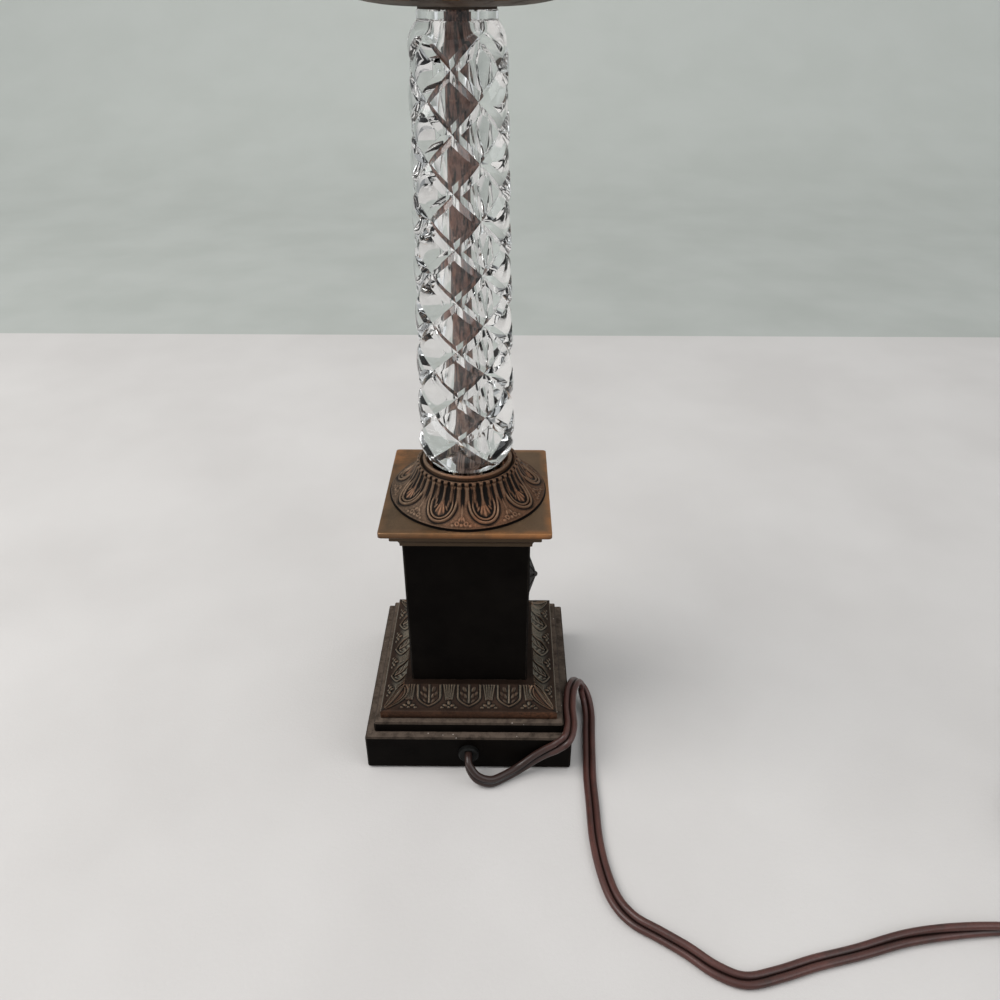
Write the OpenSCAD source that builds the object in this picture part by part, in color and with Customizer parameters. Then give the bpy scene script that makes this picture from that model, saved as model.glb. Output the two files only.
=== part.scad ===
// Crystal column table lamp. Millimetres, +Z up.
// The origin is the centre of the footprint, on the surface the lamp stands on.
// The cord leaves the base on the -Y side.

/* [Base] */
// Width of the square base block
base_w = 110; // [100:1:130]
// Height of the base block, without its felt
block_h = 21.9; // [19:0.1:30]
// Thickness of the block's side walls
block_wall = 9; // [6:0.5:11]
// Thickness of the block's top plate
block_top_t = 4.4; // [3:0.1:5.5]
// Thickness of the felt under the block
felt_t = 1.5; // [1:0.1:3]
// Distance of the felt's edge inside the block's edge
felt_inset = 2; // [1:0.5:5]
// Distance of the step's edge inside the block's edge
step_inset = 4.5; // [2:0.5:7]
// Height of the step
step_h = 6.3; // [4:0.1:10]
// Distance of the leaf moulding's foot inside the step's edge
mould_inset = 3.5; // [1.5:0.5:5]
// Height of the moulding's plain band
band_h = 5.2; // [3:0.1:8]
// Height of the moulding's hollow slope
slope_h = 7.9; // [6:0.1:11]
// Width of the moulding's flat top beyond the plinth
mould_lip = 3.5; // [2:0.5:6]
// Depth of the slope's hollow curve
slope_hollow = 1.5; // [0.8:0.1:2]
// Height of the leaf relief on the slope
mould_relief = 0.9; // [0.5:0.1:1.4]
// Small bevel on the black base pieces
base_bevel = 0.8; // [0.4:0.1:1.5]

/* [Plinth and cap] */
// Width of the square plinth
plinth_w = 62.3; // [56:0.1:68]
// Height of the plinth
plinth_h = 89.2; // [60:0.1:130]
// Wall of the plinth
plinth_wall = 3; // [2:0.1:5]
// Height of the hollow moulding under the cap plate
cove_h = 10.4; // [7:0.1:14]
// Reach of the hollow moulding beyond the plinth
cove_out = 4.5; // [2.5:0.1:6]
// Depth of the hollow moulding's curve
cove_hollow = 0.6; // [0.3:0.1:1]
// Width of the cap plate
plate_w = 82; // [79:0.5:96]
// Thickness of the cap plate
plate_t = 3; // [2:0.1:5]
// Radius of the leaf dome's rim
dome_r = 39.4; // [37:0.1:39.5]
// Height of the leaf dome up to its collar
dome_h = 16.4; // [14:0.1:20]
// Radius of the dome where the collar stands on it
dome_top_r = 24.3; // [24:0.1:26]
// Depth of the dome's hollow curve
dome_hollow = 2.2; // [1.2:0.1:3]
// Leaves round the dome
dome_leaves = 9; // [7:1:10]
// Turn of the leaves from the front
leaf_turn = 17.5; // [-25:0.5:25]
// Width of one dome leaf
leaf_w = 15.2; // [10:0.1:15.6]
// Height of the leaf relief on the dome
leaf_relief = 0.9; // [0.5:0.1:1.4]
// Inner radius of the collar round the glass
collar_r = 20.2; // [19.4:0.1:20.6]
// Height of the collar above the dome
collar_h = 3.2; // [2.8:0.1:6]
// Depth of the glass seat below the collar's top
seat_depth = 8.6; // [6:0.1:11]
// Radius of the round side ornament
rosette_r = 11.2; // [7:0.1:12.5]
// Height of the side ornament
rosette_h = 4.2; // [3:0.1:8]
// Height of the side ornament's centre above the plinth's foot
rosette_up = 48.5; // [30:0.5:72]

/* [Crystal column] */
// Body radius at the foot
col_r_low = 23.4; // [22:0.1:25]
// Body radius at the top
col_r_top = 19.4; // [18:0.1:22]
// Rows of half diamonds in the height
col_rows = 16; // [8:1:20]
// Height of one half diamond
col_half = 10.9; // [9:0.1:13]
// Diamonds round the column
col_round = 5; // [4:1:8]
// Depth that each diamond's cushion falls away to its corners
pillow_d = 1.5; // [0.8:0.1:2]
// Depth of the V grooves between the diamonds
groove_d = 1; // [0.5:0.1:1.4]
// Turn of the pattern about the column
groove_turn = 30; // [-36:1:36]
// Radius of the lower glass neck
neck_low_r = 17.6; // [14:0.1:19]
// Length of the lower glass neck
neck_low_h = 7.2; // [5:0.1:14]
// Radius of the upper glass neck
neck_top_r = 15.5; // [12:0.1:17]
// Length of the upper glass neck
neck_top_h = 3.8; // [2:0.1:10]
// Height of the rounded lower shoulder
shoulder_low_h = 12.5; // [9:0.1:16]
// Height of the rounded upper shoulder
shoulder_top_h = 8.8; // [6:0.1:12]
// Radius of the bore through the glass
col_bore_r = 7.5; // [5.8:0.1:9]
// Thickness of the soft washers at both ends of the glass
washer_t = 1; // [0.5:0.1:2]

/* [Pipe and nuts] */
// Outside radius of the threaded pipe
pipe_r = 5.15; // [4.8:0.05:5.4]
// Wall of the pipe
pipe_wall = 1.65; // [1:0.05:1.7]
// Clearance of the holes that the pipe goes through
pipe_gap = 0.35; // [0.2:0.05:0.6]
// Clearance of a thread drawn as a plain hole
thread_gap = 0.05; // [0.02:0.01:0.1]
// Height of the nut under the block
nut_h = 5; // [3:0.1:6]
// Width across the flats of both nuts
nut_flats = 16; // [14:0.5:17]
// Thickness of the steel washer under the block
plain_washer_t = 1.5; // [1:0.1:2.5]
// Radius of the steel washer under the block
plain_washer_r = 12; // [10:0.5:20]

/* [Drip dish and neck] */
// Radius of the drip dish
dish_r = 43; // [38:0.5:48]
// Radius of the dish's flat foot
dish_foot_r = 18.6; // [17.6:0.1:22]
// Rise of the dish's rim
dish_rise = 3.6; // [2.6:0.1:5]
// Thickness of the dish
dish_t = 1.6; // [1:0.1:2.5]
// Scallops round the dish
dish_lobes = 14; // [8:1:20]
// Height of the turned neck above the dish
spindle_h = 22; // [16:0.5:34]
// Largest radius of the turned neck
spindle_r = 14; // [11:0.5:16]

/* [Socket] */
// Outside radius of the socket
socket_r = 16.4; // [16:0.1:18]
// Wall of the brass socket shell
shell_t = 0.9; // [0.6:0.05:1.2]
// Height of the domed socket cap
cap_h = 16; // [13:0.5:22]
// Height of the socket shell
shell_h = 42; // [38:0.5:52]
// Inside radius of the bulb thread
bulb_r = 13.3; // [13:0.05:13.4]
// Wall of the threaded liner
screw_t = 0.45; // [0.3:0.05:0.5]
// Depth of the threaded liner
screw_h = 21; // [18:0.5:24]
// Height of the switch body
switch_h = 26; // [23:0.5:27]
// Radius of the key's stem
key_stem_r = 1.6; // [1.3:0.05:1.9]
// Running clearance round the key's stem
key_gap = 0.08; // [0.04:0.01:0.1]
// Reach of the key beyond the shell
key_reach = 17; // [13:0.5:24]
// Width of the key's paddle
paddle_w = 13; // [9:0.5:16]

/* [Harp and finial] */
// Radius of the harp wire
wire_r = 1.6; // [1.3:0.05:2]
// Distance of each harp leg from the axis
harp_leg_x = 27; // [25:0.5:32]
// Length of the upright part of each leg
harp_leg_h = 29; // [28:0.5:40]
// Outward tilt of the harp's sides
harp_tilt = 17; // [12:0.5:20]
// Length of the harp's straight sides
harp_side = 78; // [60:1:100]
// Radius of the small bend above each leg
harp_bend_r = 34; // [20:1:50]
// Radius of the harp's large top bends
harp_top_r = 46; // [38:1:50]
// Length of the harp sleeves
sleeve_h = 12.5; // [9:0.5:14]
// Wall of the harp sleeves
sleeve_wall = 1.4; // [1:0.1:2]
// Running clearance of the sleeves
sleeve_gap = 0.08; // [0.04:0.01:0.1]
// Thickness of the saddle strip
saddle_t = 1.6; // [1.2:0.1:2.5]
// Width of the saddle strip
saddle_w = 9; // [7:0.5:12]
// Height of the finial
finial_h = 30; // [20:0.5:45]
// Largest radius of the finial
finial_r = 8.5; // [6:0.1:12]
// Radius of the stud that holds the finial
stud_r = 3.1; // [2.5:0.05:3.5]
// Running clearance of the finial on its stud
stud_gap = 0.08; // [0.04:0.01:0.1]

/* [Cord] */
// Width of the flat cord
cord_w = 7.1; // [6:0.1:7.4]
// Thickness of the flat cord
cord_t = 3.6; // [2.8:0.1:3.7]
// Space between the turns of the stored coil
coil_gap = 0.6; // [0.5:0.1:0.8]
// Thickness of the tie round the coil
tie_t = 0.6; // [0.4:0.1:1]
// Width of the tie round the coil
tie_w = 9; // [6:0.5:14]

/* [Hidden] */
$fn = 96;

// Widths of the stacked square pieces
step_w = base_w - 2 * step_inset;
mould_w = step_w - 2 * mould_inset;
mould_top_w = plinth_w + 2 * mould_lip;
cove_w = plinth_w + 2 * cove_out;
mould_h = band_h + slope_h;

// Hollow slope of the leaf moulding, in its side view
slope_ledge = 1.6;
slope_foot = [mould_w / 2 - slope_ledge, band_h];
slope_top = [mould_top_w / 2, mould_h];
slope_r = hollow_r(slope_top, slope_foot, slope_hollow);
slope_centre = arc_centre(slope_top, slope_foot, slope_r);

// Hollow moulding under the cap plate, in its side view
cove_step = 1;
cove_band = 1.3;
cove_top_t = 4.8;
cove_lip = 0.8;
cap_wall = 4;
plate_bevel = 0.7;
cove_foot = [plinth_w / 2 + cove_step, cove_band];
cove_head = [cove_w / 2, cove_h - cove_top_t];
cove_r = hollow_r(cove_head, cove_foot, cove_hollow);
cove_centre = arc_centre(cove_head, cove_foot, cove_r);

// Shield leaves, trefoils and corner ribs on the slope
shield_step = 0.309 * mould_top_w;
shield_arc_r = 7.6;
shield_rib_w = 0.9;
petal_r = 0.85;
petal_out = 1.5;
corner_rib_w = 2.6;

// Hollow curve of the dome, in its side view, and its leaves
dome_rim_h = 1.5;
dome_rim_bevel = 0.7;
dome_ledge = 2.2;
dome_foot = [dome_r - dome_ledge, dome_rim_h];
dome_shoulder = [dome_top_r, dome_h];
dome_curve_r = hollow_r(dome_shoulder, dome_foot, dome_hollow);
dome_centre = arc_centre(dome_shoulder, dome_foot, dome_curve_r);
leaf_tip_r = dome_r - 2.8;
leaf_line_w = 1.3;
leaf_gap_w = 1.1;
dome_ribs = 5 * dome_leaves;
rib_out_r = 29.5;
rib_w = 1.7;

// Rings of the collar
ring_r = 1.1;
lip_r = 0.9;

// Side ornament and its pin
rosette_pleats = 12;
rosette_rim_t = 0.9;
rosette_top_r = 1.9;
pleat_r = 0.6;
pin_r = 1;
pin_head_r = 1.6;
pin_head_h = 1.3;
pin_gap = 0.15;

// Ends of the cut glass body, below and above the pattern
pattern_h = col_rows * col_half;
body_low = -0.6 * shoulder_low_h;
body_high = pattern_h + shoulder_top_h / 2;
neck_ledge = 0.4;
cut = 4;
col_first = 4;
col_last = 2;
col_sides = 2 * col_round * cut;
col_levels = concat(
  [for (k = [col_first:-1:1]) body_low * k / col_first],
  [for (j = [0:col_rows * cut]) j * col_half / cut],
  [for (k = [1:col_last]) pattern_h + (body_high - pattern_h) * k / col_last]
);

// Heights of the stack, from the floor up
z_step = felt_t + block_h;
z_mould = z_step + step_h;
z_plinth = z_mould + mould_h;
z_cove = z_plinth + plinth_h;
z_plate = z_cove + cove_h;
z_dome = z_plate + plate_t;
z_collar_top = z_dome + dome_h + collar_h;
z_seat = z_collar_top - seat_depth;
z_glass = z_seat + washer_t;
z_pattern = z_glass + neck_low_h - body_low;
z_glass_top = z_pattern + body_high + neck_top_h;
z_dish = z_glass_top + washer_t;
z_spindle = z_dish + dish_t;
z_saddle = z_spindle + spindle_h;
z_top_nut = z_saddle + saddle_t;
top_nut_h = 4;
z_cap = z_top_nut + top_nut_h;
z_shell = z_cap + cap_h;
z_rosette = z_plinth + rosette_up;

// Pipe, its ends and its holes
hole_r = pipe_r + pipe_gap;
nut_r = pipe_r + thread_gap;
pipe_in_cap = 6;
block_roof = felt_t + block_h - block_top_t;
z_nut = block_roof - plain_washer_t - nut_h;
z_pipe = z_nut - 1.5;
z_pipe_top = z_cap + pipe_in_cap;

// Bush that the cord leaves by
grommet_z = felt_t + 11.5;
grommet_neck_r = 4.4;
grommet_flange_r = 5.4;
grommet_out = 3;
grommet_slot = 2;
slot_gap = 0.15;
cord_exit = [0, grommet_slot - grommet_out - base_w / 2, grommet_z, 90];

// Rim of the dish
dish_arc_r = (pow(dish_r - dish_foot_r, 2) + dish_rise * dish_rise) / (2 * dish_rise);
lobe_r = PI * dish_r / dish_lobes * 0.62;

// Socket parts and the screw that locks the cap on the pipe
cap_hub_r = 8.4;
set_r = 1.1;
set_head_r = 1.7;
set_up = 1.4;
liner_t = 0.5;
liner_gap = 0.1;
liner_r = socket_r - shell_t - liner_gap;
switch_gap = 0.3;
switch_r = liner_r - liner_t - switch_gap;
cap_seat = 8;
z_switch = z_cap + cap_seat;
z_key = z_shell + 8;
wire_hole_depth = 6;
z_screw = z_switch + switch_h;
screw_cup_r = bulb_r - 1.3;
screw_cup_h = 3.6;
screw_floor = 0.6;
contact_hole_r = 8;
terminal_flat = 2.2;
terminal_r = 2.4;
wire_x = 1.7;
wire_core_r = 1.35;
wire_section = [for (i = [0:7]) wire_core_r * [cos(45 * i), sin(45 * i)]];
wire_start_y = block_wall - base_w / 2;

// Harp
prong_h = 7;
harp_rest_gap = 0.3;
saddle_rise = 5;
z_prong = z_saddle + saddle_rise + saddle_t;
z_leg = z_prong + prong_h + harp_rest_gap;
bend_x = harp_leg_x + harp_bend_r * (1 - cos(harp_tilt));
bend_z = z_leg + harp_leg_h + harp_bend_r * sin(harp_tilt);
side_x = bend_x + harp_side * sin(harp_tilt);
side_z = bend_z + harp_side * cos(harp_tilt);
top_x = side_x - harp_top_r * cos(harp_tilt);
top_z = side_z + harp_top_r * sin(harp_tilt);
z_harp_top = top_z + harp_top_r;
harp_seat_r = 6;
harp_seat_t = 2.4;
bend_thin = 0.03;
z_finial = z_harp_top + wire_r + 1;
stud_h = 8;
sleeve_rise = 0.4;

// Route of the cord from the bush to the coil, with the cord's roll:
// 90 stands the flat cord on its edge, 0 lays it flat.
route = [
  [0, -58, 13, 90], [0, -61, 13, 90], [1, -64, 11, 90],
  [5, -67, 7, 90], [12, -67, 4, 90], [20, -63, 4, 90],
  [28, -59, 6, 90], [35, -57.2, 11, 90], [41, -57.2, 16, 85],
  [47, -57.8, 21, 65], [52.2, -56.3, 25.4, 32], [54.8, -47, 25.7, 6],
  [54.8, -35, 25.3, 0], [56, -23, 25.4, 0], [58.4, -15, 24.6, 0],
  [61, -8.5, 20, 0], [64, -5.5, 13, 0], [67, -9, 6, 0],
  [68, -18, 2.3, 0], [67, -31, 2, 0], [66, -46, 2, 0],
  [65, -63, 2, 0], [65, -80, 2, 0], [65, -99, 2, 0],
  [67, -117, 2.1, 5], [71, -132, 2.7, 20], [78, -142, 3.4, 40],
  [89, -149, 3.6, 50], [100, -156, 3.5, 45], [111, -164, 3, 30],
  [123, -168, 2.3, 10], [138, -165, 2, 0], [155, -160, 2, 0],
  [176, -155, 2, 0], [200, -149, 3, 20], [226, -146, 4, 60],
  [252, -145, 4, 90], [280, -145, 4, 90]
];
span_rings = 2;

// Stored coil, outside the picture, and the tail that leads to the plug
coil_x = 326;
coil_y = -103;
coil_r = 42;
coil_turns = 5.3;
coil_start = -90;
coil_loop_rings = 24;
coil_pitch = cord_t + coil_gap;
coil_z = tie_t + cord_w / 2;
coil_layer = cord_w + coil_gap;
coil_lead = 8;
cord_route = concat(route, [
  [coil_x - 2 * coil_lead, coil_y - coil_r, coil_z, 90],
  [coil_x - coil_lead, coil_y - coil_r, coil_z, 90]
]);
coil_end = coil_start + 360 * coil_turns;
coil_end_p = coil_at(coil_turns);
coil_end_d = [-sin(coil_end), cos(coil_end), 0];
plug_l = 30;
plug_w = 24;
plug_t = 15;
plug_turn = coil_end + 90;
tail_l = 42;
tail_start = coil_end_p + coil_lead * coil_end_d;
tail_end = [
  coil_end_p[0] + (coil_lead + tail_l) * coil_end_d[0],
  coil_end_p[1] + (coil_lead + tail_l) * coil_end_d[1],
  plug_t / 2
];
blade_l = 17;
blade_w = 6.3;
blade_t = 1.5;
blade_gap = 12.7;
blade_root = 7;

// Section of the flat cord: two round cores side by side
core_x = (cord_w - cord_t) / 2;
core_r = cord_t / 2;
core_side = 38;
core_out = core_x + core_r * cos(core_side) + 0.35;
core_up = core_r * sin(core_side);
waist = core_r * 0.62;
cord_section = [
  [core_x, -core_r], [core_out, -core_up], [core_out, core_up], [core_x, core_r], [0, waist],
  [-core_x, core_r], [-core_out, core_up], [-core_out, -core_up], [-core_x, -core_r], [0, -waist]
];
coil_section = [
  [cord_w / 2, 0], [core_x, core_r], [-core_x, core_r],
  [-cord_w / 2, 0], [-core_x, -core_r], [core_x, -core_r]
];

// Line of the stored coil, with a short straight lead at each end
coil_line = concat(
  [coil_at(0) - [coil_lead, 0, 0]],
  [for (i = [0:floor(coil_turns * coil_loop_rings)]) coil_at(i / coil_loop_rings)],
  [coil_end_p, coil_end_p + coil_lead * coil_end_d]
);
coil_rings = tube_rings(coil_line, [for (p = coil_line) 90], coil_section, [0, 0, 1]);

// Colours
black = [0.07, 0.065, 0.06];
bronze = [0.40, 0.30, 0.22];
brass = [0.72, 0.56, 0.30];
steel = [0.60, 0.60, 0.62];
brown = [0.36, 0.20, 0.17];

// Points of an arc
function arc_points(cx, cy, r, a0, a1, n) =
  [for (i = [0:n]) let (a = a0 + (a1 - a0) * i / n) [cx + r * cos(a), cy + r * sin(a)]];

function unit(v) = v / norm(v);
function smooth(x) = let (t = min(1, max(0, x))) t * t * (3 - 2 * t);

// Radius of an arc that dips by a given depth between two points
function hollow_r(a, b, dip) = let (h = norm(b - a) / 2) (h * h + dip * dip) / (2 * dip);

// Centre of a circle of radius r through two points, on the left of a to b
function arc_centre(a, b, r) =
  let (m = (a + b) / 2, d = b - a, h = norm(d) / 2)
  m + [-d[1], d[0]] / (2 * h) * sqrt(r * r - h * h);

// A smooth line through route points, n points to a span
function spline(p, n) =
  let (last = len(p) - 1)
  concat(
    [for (i = [0:last - 1], k = [0:n - 1])
      let (
        a = i == 0 ? 2 * p[0] - p[1] : p[i - 1],
        b = p[i],
        c = p[i + 1],
        d = i == last - 1 ? 2 * p[last] - p[last - 1] : p[i + 2],
        t = k / n
      )
      0.5 * (2 * b + (c - a) * t + (2 * a - 5 * b + 4 * c - d) * t * t
        + (3 * b - a - 3 * c + d) * t * t * t)],
    [p[last]]
  );

function line_length(p) = [for (i = [1:len(p) - 1]) norm(p[i] - p[i - 1])] * [for (i = [1:len(p) - 1]) 1];
function xyz(p) = [p[0], p[1], p[2]];

// Ring i of a tube: its section, turned by the roll about the line
function ring(line, rolls, section, i, up) =
  let (
    last = len(line) - 1,
    along = unit(line[min(i + 1, last)] - line[max(i - 1, 0)]),
    side = unit(cross(up, along)),
    rise = cross(along, side),
    c = cos(rolls[i]),
    s = sin(rolls[i])
  )
  [for (q = section) line[i] + q[0] * (side * c + rise * s) + q[1] * (rise * c - side * s)];

function tube_rings(line, rolls, section, up) =
  [for (i = [0:len(line) - 1]) ring(line, rolls, section, i, up)];

// One closed tube through its rings, every face a triangle
module tube(rings) {
  n = len(rings[0]);
  m = len(rings);
  share = [for (i = [1:n]) 1 / n];
  points = concat(
    [for (r = rings, p = r) p],
    [share * rings[0], share * rings[m - 1]]
  );
  faces = concat(
    [for (j = [0:m - 2], i = [0:n - 1]) let (k = (i + 1) % n)
      [j * n + i, (j + 1) * n + i, (j + 1) * n + k]],
    [for (j = [0:m - 2], i = [0:n - 1]) let (k = (i + 1) % n)
      [j * n + i, (j + 1) * n + k, j * n + k]],
    [for (i = [0:n - 1]) [m * n, i, (i + 1) % n]],
    [for (i = [0:n - 1]) [m * n + 1, (m - 1) * n + (i + 1) % n, (m - 1) * n + i]]
  );
  polyhedron(points, faces);
}

// Place along the coil after t turns: in on the floor, up, and out again on top
function coil_at(t) =
  let (
    half = coil_turns / 2,
    r = coil_r - coil_pitch * min(t, coil_turns - t),
    a = coil_start + 360 * t,
    z = coil_z + coil_layer * smooth((t - half + 0.25) / 0.5)
  )
  [coil_x + r * cos(a), coil_y + r * sin(a), z];

// A square slab with bevelled edges, standing on z = 0
module slab(w, h, bevel) {
  intersection() {
    rotate([90, 0, 0]) linear_extrude(w, center = true) bevelled(w, h, bevel);
    rotate([90, 0, 90]) linear_extrude(w, center = true) bevelled(w, h, bevel);
    linear_extrude(h) square_with_corners(w, bevel);
  }
}

// Side view of a slab: its top edges are bevelled
module bevelled(w, h, b) {
  polygon([[-w / 2, 0], [w / 2, 0], [w / 2, h - b], [w / 2 - b, h], [b - w / 2, h], [-w / 2, h - b]]);
}

// Plan of a square with small corner cuts
module square_with_corners(w, b) {
  h = w / 2;
  polygon([[-h, b - h], [b - h, -h], [h - b, -h], [h, b - h],
    [h, h - b], [h - b, h], [b - h, h], [-h, h - b]]);
}

// A square moulding: the same profile seen from two sides
module square_run(w) {
  intersection() {
    rotate([90, 0, 0]) linear_extrude(w, center = true) children();
    rotate([90, 0, 90]) linear_extrude(w, center = true) children();
  }
}

// Thin felt sheet under the block
module felt_pad() {
  color("darkgreen")
    linear_extrude(felt_t) square_with_corners(base_w - 2 * felt_inset, 2 * base_bevel);
}

// Hollow cast block: open below, holes for the pipe and the cord bush
module base_block() {
  hollow_w = base_w - 2 * block_wall;
  color(black)
    difference() {
      translate([0, 0, felt_t]) slab(base_w, block_h, base_bevel);
      translate([-hollow_w / 2, -hollow_w / 2, felt_t - 1])
        cube([hollow_w, hollow_w, block_roof - felt_t + 1]);
      translate([0, 0, block_roof - 1]) cylinder(r = hole_r, h = block_top_t + 2);
      translate([0, 1 - base_w / 2 + block_wall, grommet_z])
        rotate([90, 0, 0]) cylinder(r = grommet_neck_r + slot_gap, h = block_wall + 2);
    }
}

// Second step, with the hole for the pipe
module base_step() {
  color(black)
    translate([0, 0, z_step])
      difference() {
        slab(step_w, step_h, base_bevel);
        translate([0, 0, -1]) cylinder(r = hole_r, h = step_h + 2);
      }
}

// Profile of the leaf moulding, grown outwards by a relief
module mould_profile(relief) {
  w = mould_w / 2;
  foot = slope_foot + relief * unit(slope_centre - slope_foot);
  top = slope_top + relief * unit(slope_centre - slope_top);
  intersection() {
    translate([-w, 0]) square([2 * w, mould_h]);
    difference() {
      polygon([[-w, 0], [w, 0], [w, band_h], foot, top,
        [-top[0], top[1]], [-foot[0], foot[1]], [-w, band_h]]);
      for (side = [-1, 1])
        translate([side * slope_centre[0], slope_centre[1]]) circle(r = slope_r - relief);
    }
  }
}

// Outline of one shield leaf: two arcs that meet in a point
module shield(k) {
  r = shield_arc_r * k;
  intersection() {
    translate([k, 0]) circle(r = r);
    translate([-k, 0]) circle(r = r);
    translate([-r, -r]) square([2 * r, r]);
  }
}

// The relief on one side of the moulding
module mould_motifs() {
  for (i = [-1, 0, 1])
    translate([i * shield_step, mould_h]) {
      difference() {
        shield(1);
        shield(0.8);
      }
      difference() {
        shield(0.62);
        translate([-shield_rib_w, -slope_h]) square([2 * shield_rib_w, slope_h]);
      }
      translate([-shield_rib_w / 2, 1 - slope_h]) square([shield_rib_w, slope_h]);
    }
  for (i = [-1.5, -0.5, 0.5, 1.5])
    translate([i * shield_step, band_h + petal_out]) {
      translate([0, petal_r]) circle(r = petal_r);
      for (side = [-1, 1])
        translate([side * petal_out, -petal_r / 2]) circle(r = petal_r);
    }
}

// Bronze moulding with shield leaves on its hollow slope
module base_moulding() {
  pocket = plinth_w - 6;
  color(bronze)
    translate([0, 0, z_mould])
      difference() {
        union() {
          square_run(mould_w) mould_profile(0);
          intersection() {
            square_run(mould_w) mould_profile(mould_relief);
            union() {
              for (turn = [0:90:270])
                rotate([0, 0, turn])
                  translate([0, -mould_top_w / 2 + 2, 0])
                    rotate([90, 0, 0]) linear_extrude(mould_w) mould_motifs();
              for (turn = [45:90:315])
                rotate([0, 0, turn])
                  translate([plinth_w / 2, -corner_rib_w / 2, band_h - 0.2])
                    cube([mould_w, corner_rib_w, mould_h]);
            }
          }
        }
        translate([0, 0, -1]) cylinder(r = hole_r, h = mould_h + 2);
        translate([-pocket / 2, -pocket / 2, -1]) cube([pocket, pocket, band_h + 1]);
      }
}

// Square tube with a floor and a roof that the pipe goes through
module plinth() {
  inner = plinth_w - 2 * plinth_wall;
  color(black)
    difference() {
      translate([0, 0, z_plinth]) linear_extrude(plinth_h) square_with_corners(plinth_w, base_bevel);
      translate([-inner / 2, -inner / 2, z_plinth + plinth_wall])
        cube([inner, inner, plinth_h - 2 * plinth_wall]);
      translate([0, 0, z_plinth - 1]) cylinder(r = hole_r, h = plinth_h + 2);
      translate([plinth_w / 2 - plinth_wall - 1, 0, z_rosette])
        rotate([0, 90, 0]) cylinder(r = pin_r + pin_gap, h = plinth_wall + 2);
    }
}

// Pleated cone on the right face of the plinth
module side_rosette() {
  foot_r = rosette_r * 0.93;
  slope = atan2(rosette_h - rosette_rim_t, foot_r - rosette_top_r);
  color(bronze)
    translate([plinth_w / 2, 0, z_rosette])
      rotate([0, 90, 0])
        difference() {
          union() {
            cylinder(r = rosette_r, h = rosette_rim_t);
            translate([0, 0, rosette_rim_t])
              cylinder(r1 = foot_r, r2 = rosette_top_r, h = rosette_h - rosette_rim_t);
          }
          for (i = [1:rosette_pleats])
            rotate([0, 0, 360 * i / rosette_pleats])
              translate([rosette_r * 0.3, 0, rosette_rim_t + (foot_r - rosette_r * 0.3) * tan(slope)])
                rotate([0, 90 + slope, 0]) cylinder(r = pleat_r, h = rosette_r, $fn = 24);
          translate([0, 0, -1]) cylinder(r = pin_r + pin_gap, h = rosette_h + 2);
        }
}

// Pin with a dark round head that holds the rosette
module rosette_pin() {
  inside = plinth_wall + 2;
  color(black)
    translate([plinth_w / 2 - inside, 0, z_rosette])
      rotate([0, 90, 0])
        union() {
          cylinder(r = pin_r, h = inside + rosette_h + pin_head_h / 2);
          translate([0, 0, inside + rosette_h])
            intersection() {
              translate([0, 0, pin_head_h - pin_head_r]) sphere(r = pin_head_r);
              cylinder(r = pin_head_r, h = pin_head_h);
            }
        }
}

// Hollow moulding and square plate on top of the plinth
module cap_plate() {
  lip = cove_head[0] + cove_lip;
  pocket = plinth_w - 2 * cap_wall;
  in_plate = cove_h + plate_t / 2;
  color(bronze)
    translate([0, 0, z_cove])
      difference() {
        union() {
          square_run(2 * lip) difference() {
            polygon([[-cove_foot[0], 0], [cove_foot[0], 0], cove_foot, cove_head,
              [lip, cove_head[1]], [lip, in_plate], [-lip, in_plate], [-lip, cove_head[1]],
              [-cove_head[0], cove_head[1]], [-cove_foot[0], cove_foot[1]]]);
            for (side = [-1, 1])
              translate([side * cove_centre[0], cove_centre[1]]) circle(r = cove_r);
          }
          translate([0, 0, cove_h]) slab(plate_w, plate_t, plate_bevel);
        }
        translate([0, 0, -1]) cylinder(r = hole_r, h = cove_h + plate_t + 2);
        translate([-pocket / 2, -pocket / 2, -1]) cube([pocket, pocket, cove_h + 0.4]);
      }
}

// Half section of the leaf dome, grown outwards by a relief
module dome_profile(relief) {
  foot = dome_foot + relief * unit(dome_centre - dome_foot);
  top = dome_shoulder + relief * unit(dome_centre - dome_shoulder);
  intersection() {
    square([dome_r, dome_h]);
    difference() {
      polygon([[0, 0], [dome_r, 0], [dome_r, dome_rim_h - dome_rim_bevel],
        [dome_r - dome_rim_bevel, dome_rim_h], dome_foot, foot, top, [0, top[1]]]);
      translate(dome_centre) circle(r = dome_curve_r - relief);
    }
  }
}

// Plan of one dome leaf, pointing along +X, smaller by an inset
module leaf_plan(inset) {
  r = leaf_w / 2 - inset;
  reach = leaf_tip_r - leaf_w / 2;
  union() {
    translate([reach, 0]) circle(r = r);
    polygon([[0, -r * 0.7], [reach, -r], [reach, r], [0, r * 0.7]]);
  }
}

// Plan of a rib between the leaves' foot and the collar, pointing along +X
module rib_plan() {
  polygon([[dome_top_r - 2, -rib_w / 2], [rib_out_r - 1, -rib_w / 2], [rib_out_r, 0],
    [rib_out_r - 1, rib_w / 2], [dome_top_r - 2, rib_w / 2]]);
}

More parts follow.
